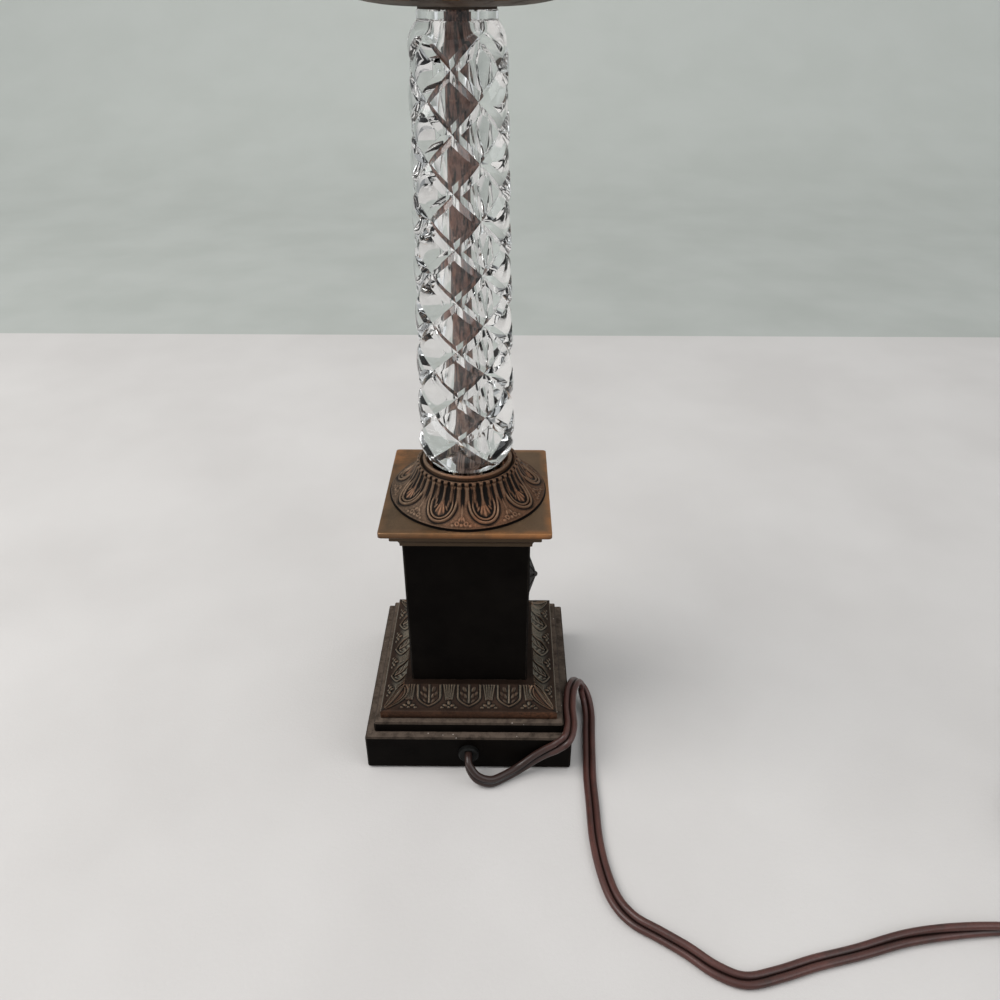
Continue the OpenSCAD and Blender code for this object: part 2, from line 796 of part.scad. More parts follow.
// Bell-shaped dome with a ring of leaves, and the collar that holds the glass
module leaf_dome() {
  color(bronze)
    translate([0, 0, z_dome])
      difference() {
        union() {
          rotate_extrude() dome_profile(0);
          intersection() {
            rotate_extrude() dome_profile(leaf_relief);
            translate([0, 0, 0.5]) linear_extrude(dome_h)
              union() {
                for (i = [0:dome_leaves - 1])
                  rotate(360 * i / dome_leaves + leaf_turn - 90) {
                    difference() {
                      leaf_plan(0);
                      leaf_plan(leaf_line_w);
                    }
                    leaf_plan(leaf_line_w + leaf_gap_w);
                  }
                for (i = [0:dome_ribs - 1])
                  rotate(360 * i / dome_ribs + leaf_turn - 90) rib_plan();
              }
          }
          rotate_extrude() collar_profile();
        }
        translate([0, 0, dome_h + collar_h - seat_depth]) cylinder(r = collar_r, h = seat_depth + 1);
        translate([0, 0, -1]) cylinder(r = hole_r, h = dome_h + 2);
      }
}

// Collar: a rounded ring over the ribs, a hollow and a thin rounded lip
module collar_profile() {
  ring_x = dome_top_r + leaf_relief - ring_r;
  lip_x = collar_r + lip_r;
  lip_z = dome_h + collar_h - lip_r;
  union() {
    polygon([[0, dome_h - 1], [ring_x, dome_h - 1], [ring_x, dome_h + 0.6], [lip_x + lip_r * 0.7, dome_h + 1],
      [lip_x + lip_r * 0.7, lip_z], [0, lip_z]]);
    translate([ring_x, dome_h + 0.2]) circle(r = ring_r);
    translate([lip_x, lip_z]) circle(r = lip_r);
  }
}

// Cork ring that the glass stands on
module seat_washer() {
  color("tan")
    translate([0, 0, z_seat])
      difference() {
        cylinder(r = neck_low_r - 0.4, h = washer_t);
        translate([0, 0, -1]) cylinder(r = hole_r + 1, h = washer_t + 2);
      }
}

// Envelope radius of the glass body at a height above the pattern's foot
function body_r(z) =
  let (
    taper = col_r_low + (col_r_top - col_r_low) * min(1, max(0, z / pattern_h)),
    low = max(0, body_low + shoulder_low_h - z) / shoulder_low_h,
    high = max(0, z - body_high + shoulder_top_h) / shoulder_top_h,
    low_drop = col_r_low - neck_low_r - neck_ledge,
    high_drop = col_r_top - neck_top_r - neck_ledge
  )
  taper - low_drop * low * low - high_drop * high * high;

// Depth of the cut: cushions between narrow V grooves
function cut_depth(u, v) =
  let (
    a = abs((u - v) / 2 - round((u - v) / 2)) * 2,
    b = abs((u + v) / 2 - round((u + v) / 2)) * 2,
    pillow = ((1 - a) * (1 - a) + (1 - b) * (1 - b)) / 2
  )
  pillow_d * pillow + groove_d * max(0, 1 - cut * min(a, b));

// Share of the cut's depth, which runs out over both shoulders
function cut_fade(z) =
  smooth((z - 0.35 * body_low) / (0.7 * shoulder_low_h))
    * smooth((pattern_h + 0.3 * shoulder_top_h - z) / (0.8 * shoulder_top_h));

function col_point(i, j) =
  let (
    z = col_levels[j],
    r = body_r(z) - cut_fade(z) * cut_depth(i / cut, (j - col_first) / cut),
    a = 180 / col_round * i / cut + groove_turn - 90
  )
  [r * cos(a), r * sin(a), z];

// The cut body: every groove runs along the edges of its facets
module cut_body() {
  n = col_sides;
  m = len(col_levels);
  points = concat(
    [for (j = [0:m - 1], i = [0:n - 1]) col_point(i, j)],
    [[0, 0, body_low], [0, 0, body_high]]
  );
  function even(i, j) = (floor(i / cut) + floor((j - col_first) / cut) + col_rows) % 2 == 0;
  faces = concat(
    [for (j = [0:m - 2], i = [0:n - 1]) let (k = (i + 1) % n, a = j * n, b = a + n)
      even(i, j) ? [a + i, b + i, b + k] : [a + i, b + i, a + k]],
    [for (j = [0:m - 2], i = [0:n - 1]) let (k = (i + 1) % n, a = j * n, b = a + n)
      even(i, j) ? [a + i, b + k, a + k] : [b + i, b + k, a + k]],
    [for (i = [0:n - 1]) [m * n, i, (i + 1) % n]],
    [for (i = [0:n - 1]) [m * n + 1, (m - 1) * n + (i + 1) % n, (m - 1) * n + i]]
  );
  polyhedron(points, faces);
}

// Glass column: cut body, two plain necks and the bore for the pipe
module crystal_column() {
  color("lightcyan")
    difference() {
      union() {
        translate([0, 0, z_pattern]) cut_body();
        translate([0, 0, z_glass]) cylinder(r = neck_low_r, h = z_pattern - z_glass);
        translate([0, 0, z_pattern + pattern_h])
          cylinder(r = neck_top_r, h = z_glass_top - z_pattern - pattern_h);
      }
      translate([0, 0, z_glass - 1]) cylinder(r = col_bore_r, h = z_glass_top - z_glass + 2);
    }
}

// Cork ring between the glass and the dish
module top_washer() {
  color("tan")
    translate([0, 0, z_glass_top])
      difference() {
        cylinder(r = neck_top_r - 0.6, h = washer_t);
        translate([0, 0, -1]) cylinder(r = hole_r + 1, h = washer_t + 2);
      }
}

// Side view of the dish, from its flat foot up to its rim
function dish_curve(lift) =
  let (turn = asin((dish_r - dish_foot_r) / dish_arc_r))
  arc_points(dish_foot_r, dish_arc_r + lift, dish_arc_r, -90, turn - 90, 7);

// Shallow dish with a scalloped rim
module drip_dish() {
  under = dish_curve(0);
  over = dish_curve(dish_t);
  color(brass)
    translate([0, 0, z_dish])
      difference() {
        intersection() {
          rotate_extrude()
            polygon(concat(
              [[0, 0]], under, [for (i = [len(over) - 1:-1:0]) over[i]], [[0, dish_t]]
            ));
          translate([0, 0, -1]) linear_extrude(dish_rise + dish_t + 2)
            union() {
              circle(r = dish_r - lobe_r * 0.8);
              for (i = [0:dish_lobes - 1])
                rotate(360 * (i + 0.5) / dish_lobes - 90)
                  translate([dish_r - lobe_r, 0]) circle(r = lobe_r, $fn = 48);
            }
        }
        translate([0, 0, -1]) cylinder(r = hole_r, h = dish_t + 2);
      }
}

// Turned neck between the dish and the harp saddle
module turned_neck() {
  h = spindle_h;
  r = spindle_r;
  color(brass)
    translate([0, 0, z_spindle])
      difference() {
        rotate_extrude()
          union() {
            square([r, 2]);
            square([r * 0.62, h]);
            translate([r * 0.62, 2]) difference() {
              square([r * 0.3, r * 0.3]);
              translate([r * 0.3, r * 0.3]) circle(r = r * 0.3);
            }
            translate([r * 0.5, h * 0.5]) circle(r = r * 0.34);
            translate([0, h - 4.2]) square([r * 0.74, 1.2]);
            translate([0, h - 2]) square([r * 0.9, 2]);
          }
        translate([0, 0, -1]) cylinder(r = hole_r, h = h + 2);
      }
}

// Threaded steel pipe that clamps the whole lamp together
module centre_pipe() {
  color(steel)
    translate([0, 0, z_pipe])
      difference() {
        cylinder(r = pipe_r, h = z_pipe_top - z_pipe);
        translate([0, 0, -1]) cylinder(r = pipe_r - pipe_wall, h = z_pipe_top - z_pipe + 2);
      }
}

// Steel washer under the block's top plate
module plain_washer() {
  color(steel)
    translate([0, 0, block_roof - plain_washer_t])
      difference() {
        cylinder(r = plain_washer_r, h = plain_washer_t);
        translate([0, 0, -1]) cylinder(r = hole_r, h = plain_washer_t + 2);
      }
}

// Hexagon nut with its corners turned off
module hex_nut(h) {
  r = nut_flats / 2 / cos(30);
  difference() {
    intersection() {
      cylinder(r = r, h = h, $fn = 6);
      rotate_extrude() polygon([[0, 0], [r - 1, 0], [r, 0.6], [r, h - 0.6], [r - 1, h], [0, h]]);
    }
    translate([0, 0, -1]) cylinder(r = nut_r, h = h + 2);
  }
}

module pipe_nut() {
  color(steel) translate([0, 0, z_nut]) hex_nut(nut_h);
}

module top_nut() {
  color(brass) translate([0, 0, z_top_nut]) hex_nut(top_nut_h);
}

// Strip under the socket, with an upright prong at each end for the harp
module harp_saddle() {
  x = harp_leg_x;
  t = saddle_t;
  knee = harp_leg_x * 0.62;
  pad = saddle_w / 2;
  color(brass)
    translate([0, 0, z_saddle])
      difference() {
        union() {
          rotate([90, 0, 0]) linear_extrude(saddle_w, center = true)
            polygon([[-x, saddle_rise], [-knee, 0], [knee, 0], [x, saddle_rise],
              [x, saddle_rise + t], [knee - t * 0.3, t], [t * 0.3 - knee, t], [-x, saddle_rise + t]]);
          cylinder(r = nut_flats / 2 + 2, h = t);
          for (side = [-1, 1])
            translate([side * x, 0, saddle_rise]) {
              cylinder(r = pad, h = t);
              cylinder(r = wire_r, h = t + prong_h);
            }
        }
        translate([0, 0, -1]) cylinder(r = hole_r, h = t + 2);
      }
}

// Part of a ring of wire in the XZ plane; its ends run a little way into the rods
module wire_arc(x, z, r, a0, a1) {
  into = 1.2;
  translate([x, 0, z]) rotate([90, 0, 0]) rotate([0, 0, a0 - into])
    rotate_extrude(angle = a1 - a0 + 2 * into) translate([r, 0]) circle(r = wire_r - bend_thin, $fn = 32);
}

// One side of the harp's wire, on +X
module harp_half() {
  translate([harp_leg_x, 0, z_leg]) cylinder(r = wire_r, h = harp_leg_h, $fn = 32);
  wire_arc(harp_leg_x + harp_bend_r, z_leg + harp_leg_h, harp_bend_r, 180 - harp_tilt, 180);
  translate([bend_x, 0, bend_z]) rotate([0, harp_tilt, 0])
    cylinder(r = wire_r, h = harp_side, $fn = 32);
  wire_arc(top_x, top_z, harp_top_r, -harp_tilt, 90);
}

// Wire loop that carries a shade, with the seat and stud for the finial
module harp() {
  color(brass)
    union() {
      harp_half();
      mirror([1, 0, 0]) harp_half();
      translate([-top_x, 0, z_harp_top]) rotate([0, 90, 0])
        cylinder(r = wire_r, h = 2 * top_x, $fn = 32);
      translate([0, 0, z_finial - harp_seat_t]) cylinder(r = harp_seat_r, h = harp_seat_t);
      translate([0, 0, z_finial - 1]) cylinder(r = stud_r, h = stud_h + 1);
    }
}

// Sleeve that locks one harp leg to its prong
module harp_sleeve(side) {
  r = wire_r + sleeve_gap;
  color(brass)
    translate([side * harp_leg_x, 0, z_prong + sleeve_rise])
      difference() {
        union() {
          cylinder(r = r + sleeve_wall, h = sleeve_h);
          cylinder(r = r + sleeve_wall + 0.6, h = 1.2);
          translate([0, 0, sleeve_h - 1.2]) cylinder(r = r + sleeve_wall + 0.6, h = 1.2);
        }
        translate([0, 0, -1]) cylinder(r = r, h = sleeve_h + 2);
      }
}

module harp_sleeve_left() { harp_sleeve(-1); }
module harp_sleeve_right() { harp_sleeve(1); }

// Turned finial that screws onto the stud
module finial() {
  h = finial_h;
  r = finial_r;
  color(brass)
    translate([0, 0, z_finial])
      difference() {
        rotate_extrude()
          intersection() {
            union() {
              square([harp_seat_r, 2]);
              square([stud_r + 1.6, h * 0.5]);
              translate([stud_r + 0.4, 4]) circle(r = 2);
              translate([0, h * 0.55]) circle(r = r);
              polygon([[0, h * 0.55], [r * 0.7, h * 0.55 + r * 0.7], [1.6, h - 1.4], [0, h]]);
            }
            square([r + harp_seat_r, h]);
          }
        translate([0, 0, -1]) cylinder(r = stud_r + stud_gap, h = stud_h + 1.6);
      }
}

// Domed brass cap, screwed to the pipe
module socket_cap() {
  t = shell_t;
  r = socket_r + 0.6;
  hub = cap_hub_r;
  color(brass)
    translate([0, 0, z_cap])
      difference() {
        union() {
          rotate_extrude()
            difference() {
              polygon([[0, 0], [hub, 0], [hub, 3], [r - 5, 4.4], [r - 1.4, 7.4],
                [r, 11], [r, cap_h], [0, cap_h]]);
              polygon([[0, 4.4], [r - 5.4, 5.4], [r - 5.4, cap_seat],
                [r - 2, cap_seat], [r - t, 11.4], [r - t, cap_h + 1], [0, cap_h + 1]]);
            }
          cylinder(r = hub - 1, h = pipe_in_cap);
          translate([0, hub - 3, set_up]) rotate([-90, 0, 0]) cylinder(r = 2.6, h = 3.4);
        }
        translate([0, 0, -1]) cylinder(r = nut_r, h = pipe_in_cap + 2);
        translate([0, pipe_r - 0.4, set_up]) rotate([-90, 0, 0]) cylinder(r = set_r + thread_gap, h = 8);
        translate([0, 0, -2]) cylinder(r = hub + 4, h = 2);
      }
}

// Small screw that locks the cap on the pipe
module cap_screw() {
  reach = pipe_r + thread_gap;
  color(steel)
    translate([0, reach, z_cap + set_up])
      rotate([-90, 0, 0])
        difference() {
          union() {
            cylinder(r = set_r, h = 4.6);
            translate([0, 0, 3.6]) cylinder(r = set_head_r, h = 1.8);
          }
          translate([-3, -0.3, 4.8]) cube([6, 0.6, 2]);
        }
}

// Straight brass shell round the switch and the bulb thread
module socket_shell() {
  color(brass)
    translate([0, 0, z_shell - 4])
      difference() {
        union() {
          cylinder(r = socket_r - 0.4, h = 5);
          translate([0, 0, 4]) cylinder(r = socket_r, h = shell_h);
          translate([0, 0, shell_h + 2.6]) cylinder(r = socket_r + 0.7, h = 1.4);
          translate([0, 0, 7]) cylinder(r = socket_r + 0.5, h = 1.2);
          translate([0, 0, z_key - z_shell + 4]) rotate([-90, 0, 0])
            cylinder(r = key_stem_r + 1.8, h = socket_r + 1.4);
        }
        translate([0, 0, -1]) cylinder(r = socket_r - shell_t, h = shell_h + 6);
        translate([0, 0, z_key - z_shell + 4]) rotate([-90, 0, 0])
          cylinder(r = key_stem_r + key_gap, h = socket_r + 3);
      }
}

// Card tube that insulates the shell
module shell_liner() {
  color("peru")
    translate([0, 0, z_shell - 3])
      difference() {
        cylinder(r = liner_r, h = shell_h + 1);
        translate([0, 0, -1]) cylinder(r = liner_r - liner_t, h = shell_h + 3);
        translate([0, 0, z_key - z_shell + 3]) rotate([-90, 0, 0])
          cylinder(r = key_stem_r + 0.6, h = socket_r);
      }
}

// Insulating body that holds the switch and the contacts
module switch_body() {
  color("dimgray")
    translate([0, 0, z_switch])
      difference() {
        cylinder(r = switch_r, h = switch_h);
        for (side = [-1, 1])
          translate([side > 0 ? switch_r - terminal_flat : -switch_r - 1, -switch_r, -1])
            cube([terminal_flat + 1, 2 * switch_r, switch_h - 3]);
        translate([0, 0, z_key - z_switch]) rotate([-90, 0, 0])
          cylinder(r = key_stem_r + key_gap, h = switch_r + 1);
        for (side = [-1, 1])
          translate([side * wire_x, 0, -1]) cylinder(r = wire_core_r + 0.3, h = wire_hole_depth + 1);
      }
}

// Two terminal screws on the flats of the switch body
module terminal_screws() {
  color(steel)
    for (side = [-1, 1])
      translate([side * (switch_r - terminal_flat), 0, z_switch + 12])
        rotate([0, side * 90, 0])
          difference() {
            cylinder(r = terminal_r, h = 1.4);
            translate([-3, -0.3, 0.9]) cube([6, 0.6, 1]);
          }
}

// Threaded liner that takes the bulb, with a narrower cup below the thread
module screw_shell() {
  color(brass)
    translate([0, 0, z_screw])
      difference() {
        union() {
          cylinder(r = screw_cup_r + screw_t, h = screw_cup_h);
          translate([0, 0, screw_cup_h - screw_floor])
            cylinder(r = bulb_r + screw_t, h = screw_h - screw_cup_h + screw_floor);
        }
        translate([0, 0, screw_cup_h]) cylinder(r = bulb_r, h = screw_h);
        translate([0, 0, screw_floor]) cylinder(r = screw_cup_r, h = screw_h);
        translate([0, 0, -1]) cylinder(r = contact_hole_r, h = screw_floor + 2);
      }
}

// Springy tongue that touches the bulb's tip
module centre_contact() {
  color(brass)
    translate([0, 0, z_screw])
      rotate([90, 0, 0]) linear_extrude(4, center = true)
        polygon([[-5, 0], [5, 0], [5, 0.5], [1, 0.5], [4, 2.6], [3.6, 3], [-1, 0.5], [-5, 0.5]]);
}

// Key of the switch: a stem and a flat paddle
module switch_key() {
  stem = key_reach - 8;
  root = switch_r - 6;
  color("black")
    translate([0, 0, z_key])
      rotate([-90, 0, 0])
        union() {
          translate([0, 0, root]) cylinder(r = key_stem_r, h = socket_r + stem - root);
          intersection() {
            translate([0, 0, socket_r + key_reach - paddle_w / 2]) rotate([90, 0, 0])
              cylinder(r = paddle_w / 2, h = 3.4, center = true);
            translate([-paddle_w, -paddle_w, socket_r + key_reach - paddle_w * 0.86])
              cube([2 * paddle_w, 2 * paddle_w, paddle_w * 0.86]);
          }
          translate([0, 0, socket_r + stem - 5]) cylinder(r1 = key_stem_r, r2 = key_stem_r + 0.9, h = 5);
        }
}

// Both insulated wires, from the bush up the pipe to the switch
module inner_wires() {
  low = z_pipe - 4.6;
  path = [
    [0, wire_start_y + 2, grommet_z], [0, wire_start_y + 5, grommet_z],
    [0, wire_start_y + 12, grommet_z - 2], [0, wire_start_y + 22, low + 2.4],
    [0, wire_start_y + 30, low], [0, -7, low], [0, -3, low + 0.8],
    [0, -1, low + 2.2], [0, 0, low + 5], [0, 0, low + 9]
  ];
  line = concat([[0, wire_start_y, grommet_z]], spline(path, 2), [[0, 0, z_switch + 4]]);
  rolls = [for (p = line) 0];
  color("saddlebrown")
    for (side = [-1, 1])
      translate([side * wire_x, 0, 0]) tube(tube_rings(line, rolls, wire_section, [1, 0, 0]));
}

// Black bush in the block's front wall, with a flat recess for the cord
module cord_grommet() {
  w = cord_w / 2 + slot_gap;
  t = cord_t / 2 + slot_gap;
  color("black")
    translate([0, -base_w / 2, grommet_z])
      rotate([90, 0, 0])
        difference() {
          union() {
            cylinder(r = grommet_flange_r, h = grommet_out - 0.8);
            translate([0, 0, grommet_out - 0.8])
              cylinder(r1 = grommet_flange_r, r2 = grommet_flange_r - 0.8, h = 0.8);
            translate([0, 0, -block_wall]) cylinder(r = grommet_neck_r, h = block_wall + 1);
          }
          translate([-t, -w, grommet_out - grommet_slot]) cube([2 * t, 2 * w, grommet_slot + 1]);
        }
}

// Free stretch of the cord, along the route
module cord() {
  points = concat([cord_exit], spline(cord_route, span_rings));
  line = [for (p = points) xyz(p)];
  rolls = [for (p = points) p[3]];
  color(brown) tube(tube_rings(line, rolls, cord_section, [0, 0, 1]));
}

// Least distance between the corners of turns that aren't next along the cord
function coil_least_gap() =
  let (m = len(coil_rings), skip = 8)
  min([for (i = [0:m - 1 - skip]) for (j = [i + skip:m - 1])
    if (norm(coil_line[i] - coil_line[j]) < 3 * cord_w)
      min([for (a = coil_rings[i], b = coil_rings[j]) norm(a - b)])]);

module cord_coil() {
  echo(least_gap_of_coil = coil_least_gap(), coil_length = line_length(coil_line));
  color(brown) tube(coil_rings);
}

// Short stretch from the coil to the plug
module cord_tail() {
  lead = 2 * coil_end_d;
  a = tail_start + lead;
  b = tail_end - lead;
  path = [
    concat(a, [90]),
    concat(a + (b - a) * 0.25 + [0, 0, 0.4], [85]),
    concat(a + (b - a) * 0.5, [50]),
    concat(a + (b - a) * 0.75 - [0, 0, 0.4], [10]),
    concat(b, [0])
  ];
  points = concat([concat(tail_start, [90])], spline(path, 3), [concat(tail_end, [0])]);
  line = [for (p = points) xyz(p)];
  echo(cord_length = line_length(line) + line_length(coil_line)
    + line_length([for (p = spline(cord_route, 6)) xyz(p)]));
  color(brown) tube(tube_rings(line, [for (p = points) p[3]], cord_section, [0, 0, 1]));
}

// Flat strap closed round the bundle of turns
module cord_tie() {
  mid = coil_r - coil_pitch * coil_turns / 4;
  half = coil_pitch * coil_turns / 4 + cord_t / 2 + 0.9;
  tall = coil_layer + cord_w + 0.6;
  color("black")
    translate([coil_x + mid, coil_y, 0])
      rotate([90, 0, 0])
        linear_extrude(tie_w, center = true)
          difference() {
            translate([-half - tie_t, 0]) square([2 * (half + tie_t), tall + 2 * tie_t]);
            translate([-half, tie_t]) square([2 * half, tall]);
          }
}

// Moves its children to the end of the cord's tail
module at_plug() {
  translate(tail_end) rotate([0, 0, plug_turn]) children();
}

// Plug body, tapered towards the cord, with slots for the blades
module plug_body() {
  w = plug_w / 2;
  t = plug_t / 2;
  color(brown)
    at_plug()
      difference() {
        intersection() {
          linear_extrude(plug_t, center = true)
            polygon([[0, -w * 0.42], [w * 0.5, -w * 0.55], [w * 1.1, -w * 0.95], [w * 1.3, -w],
              [plug_l, -w * 0.9], [plug_l, w * 0.9], [w * 1.3, w], [w * 1.1, w * 0.95],
              [w * 0.5, w * 0.55], [0, w * 0.42]]);
          rotate([90, 0, 0]) linear_extrude(plug_w, center = true)
            polygon([[0, -t * 0.5], [t * 0.9, -t * 0.62], [t * 2, -t], [plug_l, -t],
              [plug_l, t * 0.9], [t * 2, t], [t * 0.9, t * 0.62], [0, t * 0.5]]);
        }
        for (side = [-1, 1])
          translate([plug_l - blade_root, side * blade_gap / 2 - blade_t / 2, -blade_w / 2])
            cube([blade_root + 1, blade_t, blade_w]);
      }
}

// Two flat blades
module plug_blades() {
  color(brass)
    at_plug()
      for (side = [-1, 1])
        translate([plug_l - blade_root, side * blade_gap / 2 - blade_t / 2, -blade_w / 2])
          difference() {
            cube([blade_root + blade_l, blade_t, blade_w]);
            translate([blade_root + blade_l - 4, -1, blade_w / 2]) rotate([-90, 0, 0])
              cylinder(r = 1.5, h = blade_t + 2);
          }
}

felt_pad();
base_block();
base_step();
base_moulding();
plinth();
side_rosette();
rosette_pin();
cap_plate();
leaf_dome();
seat_washer();
crystal_column();
top_washer();
drip_dish();
turned_neck();
centre_pipe();
plain_washer();
pipe_nut();
top_nut();
harp_saddle();
harp();
harp_sleeve_left();
harp_sleeve_right();
finial();
socket_cap();
cap_screw();
socket_shell();
shell_liner();
switch_body();
terminal_screws();
screw_shell();
centre_contact();
switch_key();
inner_wires();
cord_grommet();
cord();
cord_coil();
cord_tail();
cord_tie();
plug_body();
plug_blades();
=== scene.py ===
import math

import bpy
import numpy as np
from mathutils import Matrix, Vector


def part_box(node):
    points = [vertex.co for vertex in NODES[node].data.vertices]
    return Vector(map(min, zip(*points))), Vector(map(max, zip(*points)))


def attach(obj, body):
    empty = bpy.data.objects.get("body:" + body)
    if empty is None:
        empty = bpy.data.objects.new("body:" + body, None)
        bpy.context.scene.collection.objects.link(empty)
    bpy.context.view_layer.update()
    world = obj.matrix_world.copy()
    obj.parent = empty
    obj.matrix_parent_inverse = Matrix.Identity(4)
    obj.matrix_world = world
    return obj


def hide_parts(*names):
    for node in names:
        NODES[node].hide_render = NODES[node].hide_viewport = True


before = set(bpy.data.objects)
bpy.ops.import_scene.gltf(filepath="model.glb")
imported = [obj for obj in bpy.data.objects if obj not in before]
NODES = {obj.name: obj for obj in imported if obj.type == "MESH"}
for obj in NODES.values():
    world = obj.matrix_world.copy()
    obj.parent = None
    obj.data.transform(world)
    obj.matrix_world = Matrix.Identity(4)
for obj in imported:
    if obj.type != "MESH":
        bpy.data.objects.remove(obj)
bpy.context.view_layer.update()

MM = 0.001


def size_of(node):
    """Lowest and highest corner of a CAD node, in millimetres."""
    low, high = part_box(node)
    return np.array(low) / MM, np.array(high) / MM


# The camera: fitted to the lamp's edges in the photograph
CAMERA_AT = (0.01888, -0.35752, 0.36457)
CAMERA_DOWN = math.radians(32.316)
CAMERA_YAW = math.radians(0.431)
CAMERA_ROLL = math.radians(0.083)
CAMERA_LENS = 29.75


def make_camera():
    data = bpy.data.cameras.new("camera")
    data.lens, data.sensor_width, data.sensor_fit = CAMERA_LENS, 36, "HORIZONTAL"
    data.clip_start, data.clip_end = 0.01, 20
    camera = bpy.data.objects.new("camera", data)
    bpy.context.scene.collection.objects.link(camera)
    turn = Matrix.Rotation(CAMERA_YAW, 3, "Z")
    forward = turn @ Vector((0, math.cos(CAMERA_DOWN), -math.sin(CAMERA_DOWN)))
    up = turn @ Vector((0, math.sin(CAMERA_DOWN), math.cos(CAMERA_DOWN)))
    right = turn @ Vector((1, 0, 0))
    c, s = math.cos(CAMERA_ROLL), math.sin(CAMERA_ROLL)
    axes = Matrix((c * right + s * up, c * up - s * right, -forward)).transposed()
    camera.matrix_world = Matrix.Translation(CAMERA_AT) @ axes.to_4x4()
    bpy.context.scene.camera = camera


# Meshes


def link(name, mesh, body="lamp", replaces=(), material=None):
    """A new piece of the lamp: it rides on a body and may stand for CAD nodes."""
    piece = bpy.data.objects.new(name, mesh)
    bpy.context.scene.collection.objects.link(piece)
    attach(piece, body)
    if replaces:
        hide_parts(*replaces)
    if material:
        mesh.materials.append(material)
    return piece


def mesh_of(name, points, faces, sharp=None, **values):
    """A mesh from points in millimetres. sharp is the angle, in degrees, past which edges stay sharp.

    The other arguments are numbers for each point, kept as the mesh's attributes of that name.
    """
    mesh = bpy.data.meshes.new(name)
    mesh.from_pydata((np.asarray(points, float) * MM).tolist(), [], [tuple(f) for f in faces])
    mesh.validate()
    mesh.update()
    for key, value in values.items():
        layer = mesh.attributes.new(key, "FLOAT", "POINT")
        layer.data.foreach_set("value", np.asarray(value, np.float32).ravel())
    if sharp is not None:
        mesh.shade_smooth()
        mesh.set_sharp_from_angle(angle=math.radians(sharp))
    return mesh


def grid_faces(rows, cols, wrap_rows=False, wrap_cols=False):
    """Quads of a grid whose points are numbered row by row."""
    last_row = rows if wrap_rows else rows - 1
    last_col = cols if wrap_cols else cols - 1
    i, j = np.meshgrid(np.arange(last_row), np.arange(last_col), indexing="ij")
    k, m = (i + 1) % rows, (j + 1) % cols
    quads = np.stack([i * cols + j, i * cols + m, k * cols + m, k * cols + j], axis=-1)
    return quads.reshape(-1, 4).tolist()


def smooth(x):
    t = np.clip(x, 0, 1)
    return t * t * (3 - 2 * t)


def ridge(distance, width, height):
    """A rounded bump across a line: its height at a distance from the middle."""
    return height * np.clip(1 - (distance / (width / 2)) ** 2, 0, 1) ** 0.7


def blurred(grid, reach, wrap=(True, True)):
    """Mean over a square of cells, used to find what lies lower than what is round it."""
    total = np.zeros_like(grid)
    for axis, wraps in ((0, wrap[0]), (1, wrap[1])):
        source = grid if axis == 0 else total / (2 * reach + 1)
        total = np.zeros_like(grid)
        for step in range(-reach, reach + 1):
            rows = np.arange(grid.shape[axis]) + step
            size = grid.shape[axis]
            rows = rows % size if wraps else np.clip(rows, 0, size - 1)
            total += np.take(source, rows, axis=axis)
    return total / (2 * reach + 1)


# Cord: the route's points are those of the CAD source, in metres and degrees of roll

ROUTE = [
    (0, -0.058, 0.013, 90), (0, -0.061, 0.013, 90), (0.001, -0.064, 0.011, 90),
    (0.005, -0.067, 0.007, 90), (0.012, -0.067, 0.004, 90), (0.020, -0.063, 0.004, 90),
    (0.028, -0.059, 0.006, 90), (0.035, -0.0572, 0.011, 90), (0.041, -0.0572, 0.016, 85),
    (0.047, -0.0578, 0.021, 65), (0.0522, -0.0563, 0.0254, 32), (0.0548, -0.047, 0.0257, 6),
    (0.0548, -0.035, 0.0253, 0), (0.056, -0.023, 0.0254, 0), (0.0584, -0.015, 0.0246, 0),
    (0.061, -0.0085, 0.020, 0), (0.064, -0.0055, 0.013, 0), (0.067, -0.009, 0.006, 0),
    (0.068, -0.018, 0.0023, 0), (0.067, -0.031, 0.002, 0), (0.066, -0.046, 0.002, 0),
    (0.065, -0.063, 0.002, 0), (0.065, -0.080, 0.002, 0), (0.065, -0.099, 0.002, 0),
    (0.067, -0.117, 0.0021, 5), (0.071, -0.132, 0.0027, 20), (0.078, -0.142, 0.0034, 40),
    (0.089, -0.149, 0.0036, 50), (0.100, -0.156, 0.0035, 45), (0.111, -0.164, 0.003, 30),
    (0.123, -0.168, 0.0023, 10), (0.138, -0.165, 0.002, 0), (0.155, -0.160, 0.002, 0),
    (0.176, -0.155, 0.002, 0), (0.200, -0.149, 0.003, 20), (0.226, -0.146, 0.004, 60),
    (0.252, -0.145, 0.004, 90), (0.280, -0.145, 0.004, 90),
]
CORD_EXIT = (0, -0.056, 0.013, 90)
CORD_W, CORD_T = 0.0071, 0.0036
COIL_AT = (0.326, -0.103)
COIL_R, COIL_TURNS, COIL_START = 0.042, 5.3, -90
COIL_GAP, COIL_LEAD, TIE_T = 0.0006, 0.008, 0.0006
TAIL_LENGTH = 0.042
PLUG_HALF_T = 0.0075


def coil_at(turn):
    """A point on the coil: in on the floor, up, and out again on top."""
    radius = COIL_R - (CORD_T + COIL_GAP) * min(turn, COIL_TURNS - turn)
    angle = math.radians(COIL_START + 360 * turn)
    layer = (CORD_W + COIL_GAP) * float(smooth((turn - COIL_TURNS / 2 + 0.25) / 0.5))
    height = TIE_T + CORD_W / 2 + layer
    return np.array([COIL_AT[0] + radius * math.cos(angle), COIL_AT[1] + radius * math.sin(angle), height])


